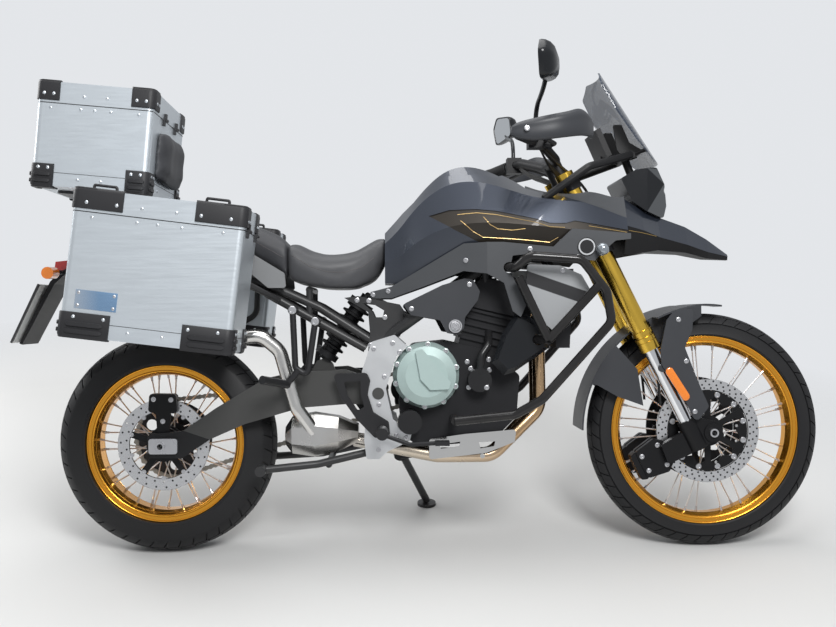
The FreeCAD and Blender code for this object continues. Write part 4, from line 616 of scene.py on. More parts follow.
def rings_mesh(name, rings, closed=False):
    """A skin over rings of points, with caps at its ends or the last ring sewn to the first."""
    count = len(rings[0])
    points = [point for ring in rings for point in ring]
    faces = []
    for i in range(len(rings) if closed else len(rings) - 1):
        low, high = i * count, (i + 1) % len(rings) * count
        faces += [(low + k, low + (k + 1) % count, high + (k + 1) % count, high + k) for k in range(count)]
    if not closed:
        faces += [tuple(range(count)), tuple(range(len(points) - count, len(points)))]
    return raw_mesh(name, points, faces)


def line_mesh(name, points, loose=False):
    """A chain of edges along points, or the points alone."""
    mesh = bpy.data.meshes.new(name)
    edges = [] if loose else [(i, i + 1) for i in range(len(points) - 1)]
    mesh.from_pydata([tuple(point) for point in points], edges, [])
    return mesh


# %% [markdown]
# Much of this machine repeats: tread blocks round a tyre, bolts round a cover, links along a
# chain. Geometry Nodes do that with three small trees, each with named inputs. A tree is
# written once, run on a base mesh, and its result is kept as a plain mesh.

# %% Geometry trees


class Tree:
    """A Geometry Nodes tree with named inputs that ends in one finish."""

    def __init__(self, name):
        self.group = bpy.data.node_groups.new(name, "GeometryNodeTree")
        self.identifiers = {}
        for direction in ("INPUT", "OUTPUT"):
            self.group.interface.new_socket("Geometry", in_out=direction, socket_type="NodeSocketGeometry")
        self.start = self.group.nodes.new("NodeGroupInput")
        self.finish = self.ask("Finish", "Material")

    def ask(self, name, kind):
        """A named input of the tree."""
        socket = self.group.interface.new_socket(name, in_out="INPUT", socket_type="NodeSocket" + kind)
        self.identifiers[name] = socket.identifier
        return self.start.outputs[name]

    def add(self, kind, settings, inputs, output=0):
        node = self.group.nodes.new(kind)
        for key, value in settings.items():
            setattr(node, key, value)
        for key, value in inputs.items():
            if isinstance(value, bpy.types.NodeSocket):
                self.group.links.new(value, node.inputs[key])
            else:
                node.inputs[key].default_value = value
        return node.outputs[output]

    def align(self, axis, vector, pivot="AUTO", **first):
        """A rotation that lays an axis along a vector, turned after another where one is given."""
        return self.add("FunctionNodeAlignRotationToVector", {"axis": axis, "pivot_axis": pivot},
                        {"Vector": vector, **first})

    def ask_shape(self):
        """A named input for the object that the tree repeats."""
        return self.add("GeometryNodeObjectInfo", {}, {"Object": self.ask("Shape", "Object")}, "Geometry")

    def end(self, points, shape, rotation):
        """Repeat the shape on the points, as one real mesh with the tree's finish."""
        copies = self.add("GeometryNodeInstanceOnPoints", {},
                          {"Points": points, "Instance": shape, "Rotation": rotation})
        solid = self.add("GeometryNodeRealizeInstances", {}, {"Geometry": copies})
        painted = self.add("GeometryNodeSetMaterial", {}, {"Geometry": solid, "Material": self.finish})
        end = self.group.nodes.new("NodeGroupOutput")
        self.group.links.new(painted, end.inputs[0])
        print("tree", self.group.name, "asks for", list(self.identifiers))

    def grow(self, base, finish, **values):
        """Run the tree on a base mesh and keep what it makes as a plain mesh."""
        obj = bpy.data.objects.new("base", base)
        bpy.context.scene.collection.objects.link(obj)
        modifier = obj.modifiers.new("tree", "NODES")
        modifier.node_group = self.group
        for name, value in {"Finish": finish.material, **values}.items():
            modifier[self.identifiers[name]] = value
        graph = bpy.context.evaluated_depsgraph_get()
        result = bpy.data.meshes.new_from_object(obj.evaluated_get(graph), depsgraph=graph)
        bpy.data.objects.remove(obj)
        return result


around = Tree("repeat about an axle")
copies, hub_middle = around.ask("Count", "Int"), around.ask("Centre", "Vector")
axle_line = around.ask("Axis", "Vector")
line = around.add("GeometryNodeMeshLine", {},
                  {"Count": copies, "Start Location": hub_middle, "Offset": (0.0, 0.0, 0.0)})
number = around.add("GeometryNodeInputIndex", {}, {})
share = around.add("ShaderNodeMath", {"operation": "DIVIDE"}, {0: number, 1: copies})
angle = around.add("ShaderNodeMath", {"operation": "MULTIPLY"}, {0: share, 1: 2 * math.pi})
turned = around.add("FunctionNodeAxisAngleToRotation", {}, {"Axis": axle_line, "Angle": angle})
back = around.add("ShaderNodeVectorMath", {"operation": "SCALE"}, {0: hub_middle, "Scale": -1.0})
moved = around.add("GeometryNodeTransform", {},
                   {"Geometry": around.start.outputs["Geometry"], "Translation": back})
around.end(line, moved, turned)

on_points = Tree("fasteners on points")
facing, along = (on_points.add("GeometryNodeInputNamedAttribute", {"data_type": "FLOAT_VECTOR"}, {"Name": name})
                 for name in ("facing", "along"))
upright = on_points.align("Z", facing)
on_points.end(on_points.start.outputs["Geometry"], on_points.ask_shape(),
              on_points.align("X", along, "Z", Rotation=upright))

on_path = Tree("links along a path")
path = on_path.add("GeometryNodeMeshToCurve", {}, {"Mesh": on_path.start.outputs["Geometry"]})
even = on_path.add("GeometryNodeResampleCurve", {}, {"Curve": path, "Count": on_path.ask("Count", "Int")})
ahead = on_path.align("X", on_path.add("GeometryNodeInputTangent", {}, {}))
on_path.end(even, on_path.ask_shape(), on_path.align("Y", on_path.ask("Side", "Vector"), "X", Rotation=ahead))

# %% [markdown]
# Fasteners are small turned or pressed shapes. Each is a profile of radius and height spun
# about z in metres, so that it can be laid on a surface by its facing direction.

# %% Fastener shapes


def shape_object(name, mesh):
    """An object that the trees can repeat, smooth except for its sharp edges."""
    mesh.shade_smooth()
    mesh.set_sharp_from_angle(angle=math.radians(35))
    return bpy.data.objects.new(name, mesh)


def lathe_shape(name, profile, sides=12):
    """A closed turned shape about z, from (radius, height) pairs in millimetres."""
    turns = [(math.cos(2 * math.pi * k / sides), math.sin(2 * math.pi * k / sides)) for k in range(sides)]
    rings = [[(r * MM * cos, r * MM * sin, h * MM) for cos, sin in turns] for r, h in profile]
    return shape_object(name, rings_mesh(name, rings))


rivet = lathe_shape("rivet", [(4.6, -0.5), (4.6, 0.6), (3.6, 1.7), (2.0, 2.3), (0.6, 2.5)])
small_bolt = lathe_shape("flange bolt", [(7.2, -1.0), (7.2, 1.2), (5.4, 1.6), (5.4, 5.2), (4.6, 6.0), (3.0, 6.0),
                                         (2.9, 3.4), (0.5, 3.4)], 18)


def scatter(name, shape, places, body, finish):
    """Put one shape on points given as (place, facing) or (place, facing, along)."""
    base = line_mesh(name + " points", [row[0] for row in places], loose=True)
    facing, along = (base.attributes.new(key, "FLOAT_VECTOR", "POINT") for key in ("facing", "along"))
    for i, row in enumerate(places):
        facing.data[i].vector = row[1]
        along.data[i].vector = row[2] if len(row) > 2 else way(1.0, 0.0, 0.0)
    return piece(name, on_points.grow(base, finish, Shape=shape), body, finish)


# %% [markdown]
# A tyre's shape follows a rule, so it is turned from a profile: a round crown, straight walls
# and a fine rib near each bead. The tread is cut in blocks that sweep back to the shoulders.
# One pitch of blocks is bent to the crown, and a tree repeats it round the axle.

# %% Tyres


def hoop(name, axle, outline, steps=120):
    """An outline of (radius, y) points turned round a wheel's axle."""
    rings = [[round_axle(axle, r, 2 * math.pi * k / steps, y) for r, y in outline] for k in range(steps)]
    return rings_mesh(name, rings, closed=True)


def tread_block(axle, middle, crown, low, high, start, length, sweep):
    """One block from crown angle low to high in degrees, with its ends swept back."""
    columns, rows = 4, 3
    points = []
    for radius in (crown, crown - tread_depth - block_root):
        for i in range(rows + 1):
            for k in range(columns + 1):
                across = math.radians(low + (high - low) * k / columns)
                turn = start + sweep * (abs(across) - math.radians(abs(low))) + length * i / rows
                points.append(round_axle(axle, middle + radius * math.cos(across), turn,
                                         radius * math.sin(across)))
    width = columns + 1
    layer = width * (rows + 1)
    faces = [(i * width + k, i * width + k + 1, (i + 1) * width + k + 1, (i + 1) * width + k)
             for i in range(rows) for k in range(columns)]
    rim = ([k for k in range(width)] + [i * width + columns for i in range(1, rows + 1)]
           + [rows * width + k for k in range(columns - 1, -1, -1)] + [i * width for i in range(rows - 1, 0, -1)])
    faces += [(a, b, b + layer, a + layer) for a, b in zip(rim, rim[1:] + rim[:1])]
    return raw_mesh("block", points, faces)


tread_depth, block_root = 4.5, 0.6
front_bead, rear_bead = 282.0, 231.0
# Columns: node, body, axle, outer radius, crown radius, rim radius, blocks round, tread edge in degrees
tyre_table = (
    ("front_tyre", "front_wheel", front_axle, 347.5, 46.0, front_bead, 52, 68.0),
    ("rear_tyre", "rear_wheel", rear_centre, 321.0, 75.0, rear_bead, 46, 58.0),
)
# Columns: first and last share of the tread's half width, first and last share of the pitch, sweep
block_table = (
    (-0.13, 0.13, 0.0, 0.965, 0.0),
    (0.17, 0.50, 0.0, 0.93, 0.55), (0.54, 1.0, 0.18, 1.08, 0.80),
    (-0.50, -0.17, 0.5, 1.43, 0.55), (-1.0, -0.54, 0.68, 1.58, 0.80),
)
for name, body, axle, outer, crown, rim, pitches, edge in tyre_table:
    middle = outer - crown
    bead = math.degrees(math.acos((rim + 0.3 - middle) / crown))
    wall = [-bead + step for step in (0, 4, 5, 6, 8)]
    stations = wall + [-(edge + 6) + 2 * (edge + 6) * i / 16 for i in range(17)] + [-a for a in reversed(wall)]
    outline = []
    for a in stations:
        rib = 1.2 if bead - 7 < abs(a) < bead - 4.5 else 0.0
        sunk = tread_depth if abs(a) <= edge - 3 else 0.0
        r = crown + rib - sunk
        outline.append((middle + r * math.cos(math.radians(a)), r * math.sin(math.radians(a))))
    pitch = 2 * math.pi / pitches
    blocks = [tread_block(axle, middle, crown, low * edge, high * edge, first * pitch, (last - first) * pitch,
                          sweep * pitch) for low, high, first, last, sweep in block_table]
    tread = around.grow(joined("pitch", blocks), rubber, Count=pitches, Centre=spot(*axle), Axis=way(0, 1, 0))
    whole = joined(name, [hoop(name, axle, outline), tread])
    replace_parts(piece(name + "_tread", whole, body, rubber, sharp=30.0), name)

# %% [markdown]
# The seats are foam under vinyl. Each starts as a simple loft with its crown and tucked
# sides, is remeshed into even cells, and is then blown up a little by a cloth simulation, so
# that the cover looks stretched over foam. The swelling is capped to keep it in its space.

# %% Padding


def cushion_section(x, half, low, high, crown, tuck):
    """A closed section across the machine, from its underside round one side to the top."""
    height = high - low
    right = [(0.0, low), (half - tuck, low), (half - 0.35 * tuck, low + 0.12 * height),
             (half, low + 0.45 * height), (half, high - crown), (half - 10, high - 0.35 * crown),
             (half - 32, high - 4), (half * 0.45, high), (0.0, high + 1)]
    ring = [(x, -y, z) for y, z in right] + [(x, y, z) for y, z in reversed(right[1:-1])]
    return [spot(*point) for point in ring]


held_height = 0.012


def blow_up(obj, voxel, pressure, cap, frames):
    """Even out the mesh, swell it with cloth pressure and keep each point within the cap."""
    bpy.context.view_layer.objects.active = obj
    even = obj.modifiers.new("even", "REMESH")
    even.mode, even.voxel_size = "VOXEL", voxel
    bpy.ops.object.modifier_apply(modifier=even.name)
    rest = [vertex.co.copy() for vertex in obj.data.vertices]
    lowest = min((from_row @ co).z for co in rest)
    held = obj.vertex_groups.new(name="held")
    held.add([i for i, co in enumerate(rest) if (from_row @ co).z < lowest + held_height], 1.0, "REPLACE")
    cloth = obj.modifiers.new("cloth", "CLOTH")
    cloth.settings.quality = 5
    cloth.settings.vertex_group_mass = "held"
    cloth.settings.use_pressure = True
    cloth.settings.uniform_pressure_force = pressure
    cloth.settings.effector_weights.gravity = 0.0
    cloth.collision_settings.use_collision = False
    cloth.point_cache.frame_end = frames
    for frame_number in range(1, frames + 1):
        bpy.context.scene.frame_set(frame_number)
    graph = bpy.context.evaluated_depsgraph_get()
    swollen = [vertex.co.copy() for vertex in obj.evaluated_get(graph).data.vertices]
    obj.modifiers.remove(cloth)
    bpy.context.scene.frame_set(1)
    for vertex, start, end in zip(obj.data.vertices, rest, swollen):
        step = end - start
        vertex.co = start + step.normalized() * min(step.length, cap) if step.length else start
    obj.vertex_groups.clear()


def smooth_over(obj, rounds, share):
    """Relax the mesh so that the remesh leaves no steps."""
    smooth = obj.modifiers.new("relax", "SMOOTH")
    smooth.iterations, smooth.factor = rounds, share
    bpy.context.view_layer.objects.active = obj
    bpy.ops.object.modifier_apply(modifier=smooth.name)
    finer = obj.modifiers.new("finer", "SUBSURF")
    finer.levels = finer.render_levels = 1
    bpy.ops.object.modifier_apply(modifier=finer.name)


def pad(name, rings, node, finish, cap=0.006):
    """A cushion from sections, swollen by no more than the cap, in place of its CAD node."""
    obj = piece(name, rings_mesh(name, rings), "chassis", finish)
    obj.select_set(True)
    blow_up(obj, voxel=0.006, pressure=4.0, cap=cap, frames=16)
    smooth_over(obj, rounds=12, share=0.5)
    obj.data.shade_smooth()
    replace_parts(obj, node)
    print(name, "when padded", len(obj.data.polygons), "faces")
    return obj


# %% Saddles
# Columns: x, half width, underside, top, crown drop, tuck
rider_rows = ((369, 134, 802, 911, 36, 14), (400, 140, 790, 897, 36, 14), (435, 145, 782, 879, 36, 16),
              (470, 144, 776, 870, 34, 16), (500, 141, 774, 869, 32, 16), (535, 134, 774, 873, 32, 14),
              (565, 125, 777, 881, 30, 14), (595, 110, 790, 899, 28, 12), (620, 92, 806, 916, 24, 10),
              (636, 80, 840, 927, 18, 8), (644.5, 76, 850, 932, 16, 8))
passenger_rows = ((44, 122, 936, 984, 26, 8), (70, 126, 931, 988, 28, 8), (130, 130, 921, 988, 28, 10),
                  (200, 131, 910, 984, 30, 12), (250, 132, 882, 962, 32, 12), (310, 133, 844, 937, 34, 12),
                  (363, 133, 806, 914, 36, 14))
rider_sections = [cushion_section(*row) for row in rider_rows]
passenger_sections = [cushion_section(*row) for row in passenger_rows]
rider_seat = pad("rider_saddle", rider_sections, "rider_seat", vinyl)
passenger_seat = pad("passenger_saddle", passenger_sections, "passenger_seat", rear_vinyl)

# %% [markdown]
# The pad on the top case is a moulded cushion for the passenger's back. It stands against the
# box's front, so its sections run across, in the case's own axes.

# %% Backrest pad
back_x = top_case.length + 1.5
# Columns: share of the half width, thickness, lower edge, upper edge
back_rows = ((-1.0, 8, 62, 178), (-0.9, 22, 50, 190), (-0.6, 31, 44, 196), (-0.2, 26, 43, 197),
             (0.2, 26, 43, 197), (0.6, 31, 44, 196), (0.9, 22, 50, 190), (1.0, 8, 62, 178))
rings = []
for share, thick, low, high in back_rows:
    y = top_case.width / 2 + 146 * share
    step = (high - low) / 4
    section = [(0, low), (0.75 * thick, low + 4), (thick, low + step), (0.92 * thick, low + 2 * step),
               (thick, high - step), (0.7 * thick, high - 4), (0, high), (0, (low + high) / 2)]
    rings.append([top_case.at(back_x + depth, y, z) for depth, z in section])
pad("back_cushion", rings, "backrest_pad", rear_vinyl, 0.004)

# %% [markdown]
# Small fittings have to touch what carries them. A ray across the machine finds the surface
# under a place on the side view, so the places can be read off a picture.

# %% Placing things on surfaces
both = (-1, 1)


def probe(*names):
    """A search tree over the faces of some CAD nodes, or of a finished piece."""
    points, faces = [], []
    for name in names:
        mesh = (nodes[name] if name in nodes else bpy.data.objects[name]).data
        offset = len(points)
        points += [vertex.co.copy() for vertex in mesh.vertices]
        faces += [[offset + corner for corner in face.vertices] for face in mesh.polygons]
    return BVHTree.FromPolygons(points, faces)


def from_side(surface, x, z, side, lift=0.0):
    """Where a line across the machine first meets a surface from one side, and its facing."""
    place, normal, *_ = surface.ray_cast(spot(x, side * 700, z), way(0, -side, 0))
    if place is None:
        return None
    if normal.dot(way(0, side, 0)) < 0:
        normal = -normal
    return place + normal * lift * MM, normal


def found(surface, places, sides=both, ahead=0.0, flat=False):
    """Rows for scatter where places of the side view meet a surface; flat ones face sideways."""
    rows = []
    for x, z in places:
        for side in sides:
            hit = from_side(surface, ahead + x, z, side)
            if hit:
                rows.append((hit[0], way(0, side, 0)) if flat else hit)
    return rows


def laid_on(surface, line, steps, side, lift, ahead=0.0):
    """Points of a side view line, with its spans split in steps, laid on a surface."""
    fine = [(x0 + (x1 - x0) * k / steps, z0 + (z1 - z0) * k / steps)
            for (x0, z0), (x1, z1) in zip(line, line[1:]) for k in range(steps)]
    hits = [from_side(surface, ahead + x, z, side, lift) for x, z in fine + [line[-1]]]
    return [hit[0] for hit in hits if hit]


def tube(name, points, radius, sides=10, order=3):
    """A round tube along points of the leaned model."""
    curve = bpy.data.curves.new(name, "CURVE")
    curve.dimensions = "3D"
    spline = curve.splines.new("NURBS")
    spline.points.add(len(points) - 1)
    for target, point in zip(spline.points, points):
        target.co = (*point, 1.0)
    spline.order_u = order
    spline.use_endpoint_u = True
    spline.resolution_u = 6
    curve.bevel_depth = radius * MM
    curve.bevel_resolution = max(0, sides // 4 - 1)
    curve.use_fill_caps = True
    obj = bpy.data.objects.new(name, curve)
    bpy.context.scene.collection.objects.link(obj)
    graph = bpy.context.evaluated_depsgraph_get()
    mesh = bpy.data.meshes.new_from_object(obj.evaluated_get(graph), depsgraph=graph)
    bpy.data.objects.remove(obj)
    return mesh


# %% [markdown]
# Seams hold the cover together. The stitches follow points found on the finished cushion, so
# they lie on it however far the foam has swollen.

# %% Seat seams
stitch = lathe_shape("stitch", [(0.4, -2.4), (0.6, -1.8), (0.6, 1.8), (0.4, 2.4)], 6)
stitch.data.transform(Matrix.Rotation(math.pi / 2, 4, "Y"))
stitch_step = 0.0078
thread = Finish("thread", (0.10, 0.09, 0.09), 0.6)
seam_lines = {
    "rider_seam": (rider_seat, [(382, 868), (430, 838), (480, 822), (530, 820), (580, 836), (612, 862)]),
    "passenger_seam": (passenger_seat, [(90, 958), (160, 952), (220, 942), (270, 912), (350, 866)]),
}
for name, (seat, seam) in seam_lines.items():
    surface = probe(seat.name)
    strips = []
    for side in both:
        path = laid_on(surface, seam, 4, side, 0.4)
        length = sum((b - a).length for a, b in zip(path, path[1:]))
        strips.append(on_path.grow(line_mesh(name + " path", path), thread, Shape=stitch,
                                   Count=int(length / stitch_step), Side=way(0, side, 0)))
        strips.append(tube(name, [point - way(0, side, 0) * 0.0002 for point in path], 0.5, 4))
    piece(name, joined(name, strips), "chassis", thread)

# %% [markdown]
# The corner guards of the real cases are thick mouldings that wrap round each upright edge.
# A guard is one profile of outward and upward steps, carried along the case's side, round
# its corner and along the next side. The last steps are drawn in, so that its ends are soft.

# %% Corner mouldings
guard_proud, guard_reach, pannier_reach = 4.8, 62.0, 128.0


def plan_corner(reach):
    """Stations round one upright edge: place and outward direction, both from the corner inwards."""
    r = case_corner
    stations = [(reach, 0.0, 0.0, -1.0), (reach - 2.0, 0.0, 0.0, -1.0), (r, 0.0, 0.0, -1.0)]
    for k in range(1, 6):
        a = math.radians(-90 - 90 * k / 6)
        stations.append((r + r * math.cos(a), r + r * math.sin(a), math.cos(a), math.sin(a)))
    return stations + [(0.0, y, -1.0, 0.0) for y in (r, guard_reach - 2.0, guard_reach)]


def guard_shell(case, far_x, far_y, reach, profile):
    """A moulding round one upright edge of a case from a profile of (outward, height) points."""
    rings = []
    stations = plan_corner(reach)
    for number, (x, y, out_x, out_y) in enumerate(stations):
        thin = 0.3 if number in (0, len(stations) - 1) else 1.0
        ring = []
        for outward, height in profile:
            outward = outward * thin if outward > 0 else outward
            px, py = x + out_x * outward, y + out_y * outward
            ring.append(case.at(case.length - px if far_x else px, case.width - py if far_y else py, height))
        rings.append(ring)
    return rings_mesh("guard", rings)


def guard_profiles(case):
    """The profiles of the mouldings on the box's foot and on the lid."""
    p, top = guard_proud, case.top
    low = case.box_height + lid_gap + 6.0
    foot = [(-0.4, 62.0), (p - 1.6, 61.5), (p, 59.0), (p, 4.0), (p - 2.4, -1.6), (1.0, -p), (-13.0, -p),
            (-13.0, -0.4)]
    lid = [(-13.0, top + 0.4), (-13.0, top + p), (-1.0, top + p), (p - 2.4, top + 1.6), (p, top - 4.0),
           (p, low + 2.0), (p - 1.6, low + 0.4), (-0.4, low)]
    return foot, lid


for case in cases:
    reach = guard_reach if case is top_case else pannier_reach
    for end, body, profile in zip(("_guards", "_lid_guards"), ("chassis", case.lid_body), guard_profiles(case)):
        shells = [guard_shell(case, far_x, far_y, reach, profile) for far_x in (False, True)
                  for far_y in (False, True)]
        piece(case.node + end, joined("guards", shells), body, guard_plastic)

# %% [markdown]
# The cases carry small hardware: rivets round the sheets, a tie loop on each upper guard,
# raised ribs on each lower guard, latches behind, a dark seal under the lid, a folded seam
# near the case's floor and a blank name plate.

# %% Rivets
top_row, low_row, guard_row, lid_row = 14.0, 22.4, 50.0, 34.0
rivet_metal = Finish("rivet metal", (0.66, 0.70, 0.74), 0.3, 0.9)
for case in cases:
    box_rows, lid_rows = [], []
    guard_x = (20.0, 46.0) if case is top_case else (36.0, 112.0)
    for y, out in ((0.0, -1.0), (case.width, 1.0)):
        facing = case.turn(0, out, 0)
        for share in (0.12, 0.38, 0.5, 0.64, 0.88):
            box_rows.append((case.at(share * case.length, y, case.box_height - top_row), facing))
        for share in (0.4, 0.6):
            box_rows.append((case.at(share * case.length, y, low_row), facing))
            lid_rows.append((case.at(share * case.length, y, case.box_height + low_row), facing))
        for x in guard_x + tuple(case.length - x for x in guard_x):
            box_rows.append((case.at(x, y + out * guard_proud, guard_row), facing))
            lid_rows.append((case.at(x, y + out * guard_proud, case.top - lid_row), facing))
    for x, out in ((0.0, -1.0), (case.length, 1.0)):
        facing = case.turn(out, 0, 0)
        for share in (0.3, 0.7):
            box_rows.append((case.at(x, share * case.width, low_row), facing))
        for y in (24.0, 50.0, case.width - 50.0, case.width - 24.0):
            box_rows.append((case.at(x + out * guard_proud, y, guard_row), facing))
            lid_rows.append((case.at(x + out * guard_proud, y, case.top - lid_row), facing))
    scatter(case.node + "_rivets", rivet, box_rows, "chassis", rivet_metal)
    scatter(case.node + "_lid_rivets", rivet, lid_rows, case.lid_body, rivet_metal)

# %% Ribs, tie loops and latches


def bar_shape(name, length, width, height):
    """A raised bar about the origin: long in x, wide in y, standing up in z."""
    rings = []
    for x, share in ((-0.5, 0.3), (-0.45, 0.8), (-0.4, 1.0), (0.4, 1.0), (0.45, 0.8), (0.5, 0.3)):
        w, h = width / 2 * share, height * share
        ring = [(-w, -0.5), (w, -0.5), (w, h * 0.5), (w * 0.8, h), (-w * 0.8, h), (-w, h * 0.5)]
        rings.append([Vector((x * length, y, z)) * MM for y, z in ring])
    return shape_object(name, rings_mesh(name, rings))


long_rib = bar_shape("long rib", 96.0, 13.0, 4.2)
short_rib = bar_shape("short rib", 46.0, 11.0, 4.2)
latch_bar = bar_shape("latch", 62.0, 26.0, 13.0)
for case in cases:
    middle, side_rib = (31.0, short_rib) if case is top_case else (64.0, long_rib)
    side_rows, end_rows = [], []
    for z in (14.0, 32.0):
        for y, out in ((-guard_proud, -1.0), (case.width + guard_proud, 1.0)):
            side_rows += [(case.at(x, y, z), case.turn(0, out, 0), case.turn(1, 0, 0))
                          for x in (middle, case.length - middle)]
        for x, out in ((-guard_proud, -1.0), (case.length + guard_proud, 1.0)):
            end_rows += [(case.at(x, y, z), case.turn(out, 0, 0), case.turn(0, 1, 0))
                         for y in (31.0, case.width - 31.0)]
    latches = [(case.at(-1.0, share * case.width, case.box_height - 22), case.turn(-1, 0, 0), case.turn(0, 0, 1))
               for share in (0.28, 0.72)]
    for end, shape, rows in (("_side_ribs", side_rib, side_rows), ("_end_ribs", short_rib, end_rows),
                             ("_latches", latch_bar, latches)):
        scatter(case.node + end, shape, rows, "chassis", guard_plastic)
    if case in panniers:
        low, high = case.top + 4.0, case.top + 13.0
        bend = ((-29, low), (-29, high), (-23, high), (23, high), (29, high), (29, low))
        loops = [tube("loop", [case.at(x + step, y, z) for step, z in bend], 4.0, 8)
                 for x in (76.0, case.length - 76.0) for y in (9.0, case.width - 9.0)]
        piece(case.node + "_tie_loops", joined("loops", loops), case.lid_body, guard_plastic)

# %% Lid seals and folded seams


def band_round(case, height, low, high, proud):
    """A closed band round a case between two heights about a level."""
    r = case_corner
    rings = []
    for cx, cy, start in ((case.length - r, r, -90), (case.length - r, case.width - r, 0),
                          (r, case.width - r, 90), (r, r, 180)):
        for a in (math.radians(start + 15 * k) for k in range(7)):
            rings.append([case.at(cx + math.cos(a) * (r + out), cy + math.sin(a) * (r + out), height + z)
                          for out, z in ((-0.3, low), (proud, low), (proud, high), (-0.3, high))])
    return rings_mesh("band", rings, closed=True)


for case in cases:
    bands = [band_round(case, case.box_height, -1.6, 0.3, 0.9), band_round(case, 38.0, -0.7, 0.7, 0.35)]
    piece(case.node + "_seal", joined("seal", bands), "chassis", guard_plastic)

# %% Blank name plates
plate_metal = Finish("blank plate", (0.52, 0.66, 0.86), 0.2, 0.95)
vector, x, y, z = plate_metal.at()
plate_metal.set("Base Color", plate_metal.mix((x + 0.12).step(0.0, 0.09), (0.72, 0.78, 0.84), (0.30, 0.48, 0.72)))
plate_metal.set("Roughness", plate_metal.noise(vector, 300.0, 2.0, (0.08, 1.0, 1.0)) * 0.2 + 0.14)
left, right, bottom, top = 34, 140, 72, 120
for case, out in zip(panniers, (-1.0, 1.0)):
    y = 0.0 if out < 0 else case.width
    rings = []
    for lift, grow in ((-0.2, 0.0), (1.0, 0.0), (1.5, -1.5)):
        corners = [(left - grow, bottom - grow), (right + grow, bottom - grow), (right + grow, top + grow),
                   (left - grow, top + grow)]
        rings.append([case.at(x, y + out * lift, z) for x, z in corners])
    piece(case.node + "_name_plate", rings_mesh("plate", rings), "chassis", plate_metal)
    rows = [(case.at(x, y + out * 0.6, z), case.turn(0, out, 0))
            for x in (left + 8, right - 8) for z in (bottom + 8, top - 8)]
    scatter(case.node + "_plate_rivets", rivet, rows, "chassis", steel)

# %% [markdown]
# Each spoke ends in a nipple at the rim. The spokes' rule is that of the CAD hub: pairs lean
# forward and back in turn, so the nipples' places and directions come from the same angles.

# %% Spoke nipples
nipple = lathe_shape("nipple", [(3.4, -12.0), (3.4, -4.0), (4.2, -3.6), (4.2, 2.0)], 8)
spoke_count, spoke_sweep, rim_depth = 36, 38.0, 31.6
# Columns: body, axle, rim radius, spoke seat y and radius, rim y
wheel_table = (("front_wheel", front_axle, front_bead, 34.0, 40.0, 16.0),
               ("rear_wheel", rear_centre, rear_bead, 44.0, 52.0, 24.0))
for body, axle, rim, seat_y, seat_radius, rim_y in wheel_table:
    rows = []
    for i in range(spoke_count):
        side = 1 if i % 2 else -1
        sweep = spoke_sweep if (i // 2) % 2 else -spoke_sweep
        share = 360.0 * i / spoke_count
        seat = round_axle(axle, seat_radius - 4.0, math.radians(share + 2.0), side * seat_y)
        end = round_axle(axle, rim - rim_depth, math.radians(share + sweep * 0.6), side * rim_y)
        rows.append((end, (end - seat).normalized()))
    scatter(body + "_nipples", nipple, rows, body, steel)

# %% [markdown]
# The rims have a rolled lip outside, a ridge inside and a step down to the well. Each is a
# hoop of a small profile round the axle, on both faces of each rim.

# %% Rim lips and ridges
# Each profile has (from the rim radius, out from the rim's face) pairs
rim_profiles = (
    ((0.6, -4.0), (0.6, 0.4), (-1.0, 2.4), (-3.4, 2.6), (-5.4, 1.2), (-6.0, -1.0)),
    ((-15.0, -1.0), (-16.0, 1.4), (-18.4, 2.2), (-21.0, 1.2), (-23.4, -3.0), (-20.0, -5.0)),
    ((-22.6, -14.0), (-25.6, -15.0), (-27.4, -18.0), (-26.0, -21.0), (-24.0, -22.0)),
)
for body, axle, rim, half in (("front_wheel", front_axle, front_bead, 36.0),
                              ("rear_wheel", rear_centre, rear_bead, 60.0)):
    hoops = [hoop("hoop", axle, [(rim + r, side * (half + out)) for r, out in profile])
             for side in both for profile in rim_profiles]
    piece(body + "_rim_lines", joined("hoops", hoops), body, gold_rim, sharp=60.0)

# %% [markdown]
# The brake rotors are bright steel with drilled faces, held on black carriers by round studs.
# One sector of the drilled face is made with its holes, staggered from row to row, and the
# ring tree repeats it. The CAD rotor under the face is black, as painted shade in the holes.

# %% Drilled brake discs


def drilled_cell(axle, y, inner, outer, width, slide, hole):
    """One cell of a drilled face: a ring sector with a round hole, off centre by a slide."""
    corners = 12
    middle_r, middle_a = (inner + outer) / 2, width * (0.5 + slide)
    points, faces = [], []
    for level in (0.0, 0.5):
        for k in range(corners):
            a = 2 * math.pi * (k + 0.5) / corners
            step_r, step_a = math.cos(a), math.sin(a)
            scale = 1.0 / max(abs(step_r), abs(step_a))
            edge_r = middle_r + (outer - inner) / 2 * step_r * scale
            edge_a = width / 2 + width / 2 * step_a * scale
            for r, t in ((edge_r, edge_a), (middle_r + hole * step_r, middle_a + hole / middle_r * step_a)):
                points.append(round_axle(axle, r, t, y + math.copysign(level, y)))
    layer = 2 * corners
    for k in range(corners):
        a, b = 2 * k, 2 * ((k + 1) % corners)
        faces.append((layer + a, layer + b, layer + b + 1, layer + a + 1))
        faces.append((a + 1, b + 1, layer + b + 1, layer + a + 1))
    mesh = bpy.data.meshes.new("cell")
    mesh.from_pydata([tuple(point) for point in points], [], faces)
    return mesh


def drilled_sector(axle, y, inner, outer, width, rows, hole=2.9):
    """Cells from the inner to the outer edge, with their holes staggered."""
    step, slides = (outer - inner) / rows, (0.0, 0.26, -0.26)
    return joined("sector", [
        drilled_cell(axle, y, inner + step * row, inner + step * (row + 1), width, slides[row % 3], hole)
        for row in range(rows)])


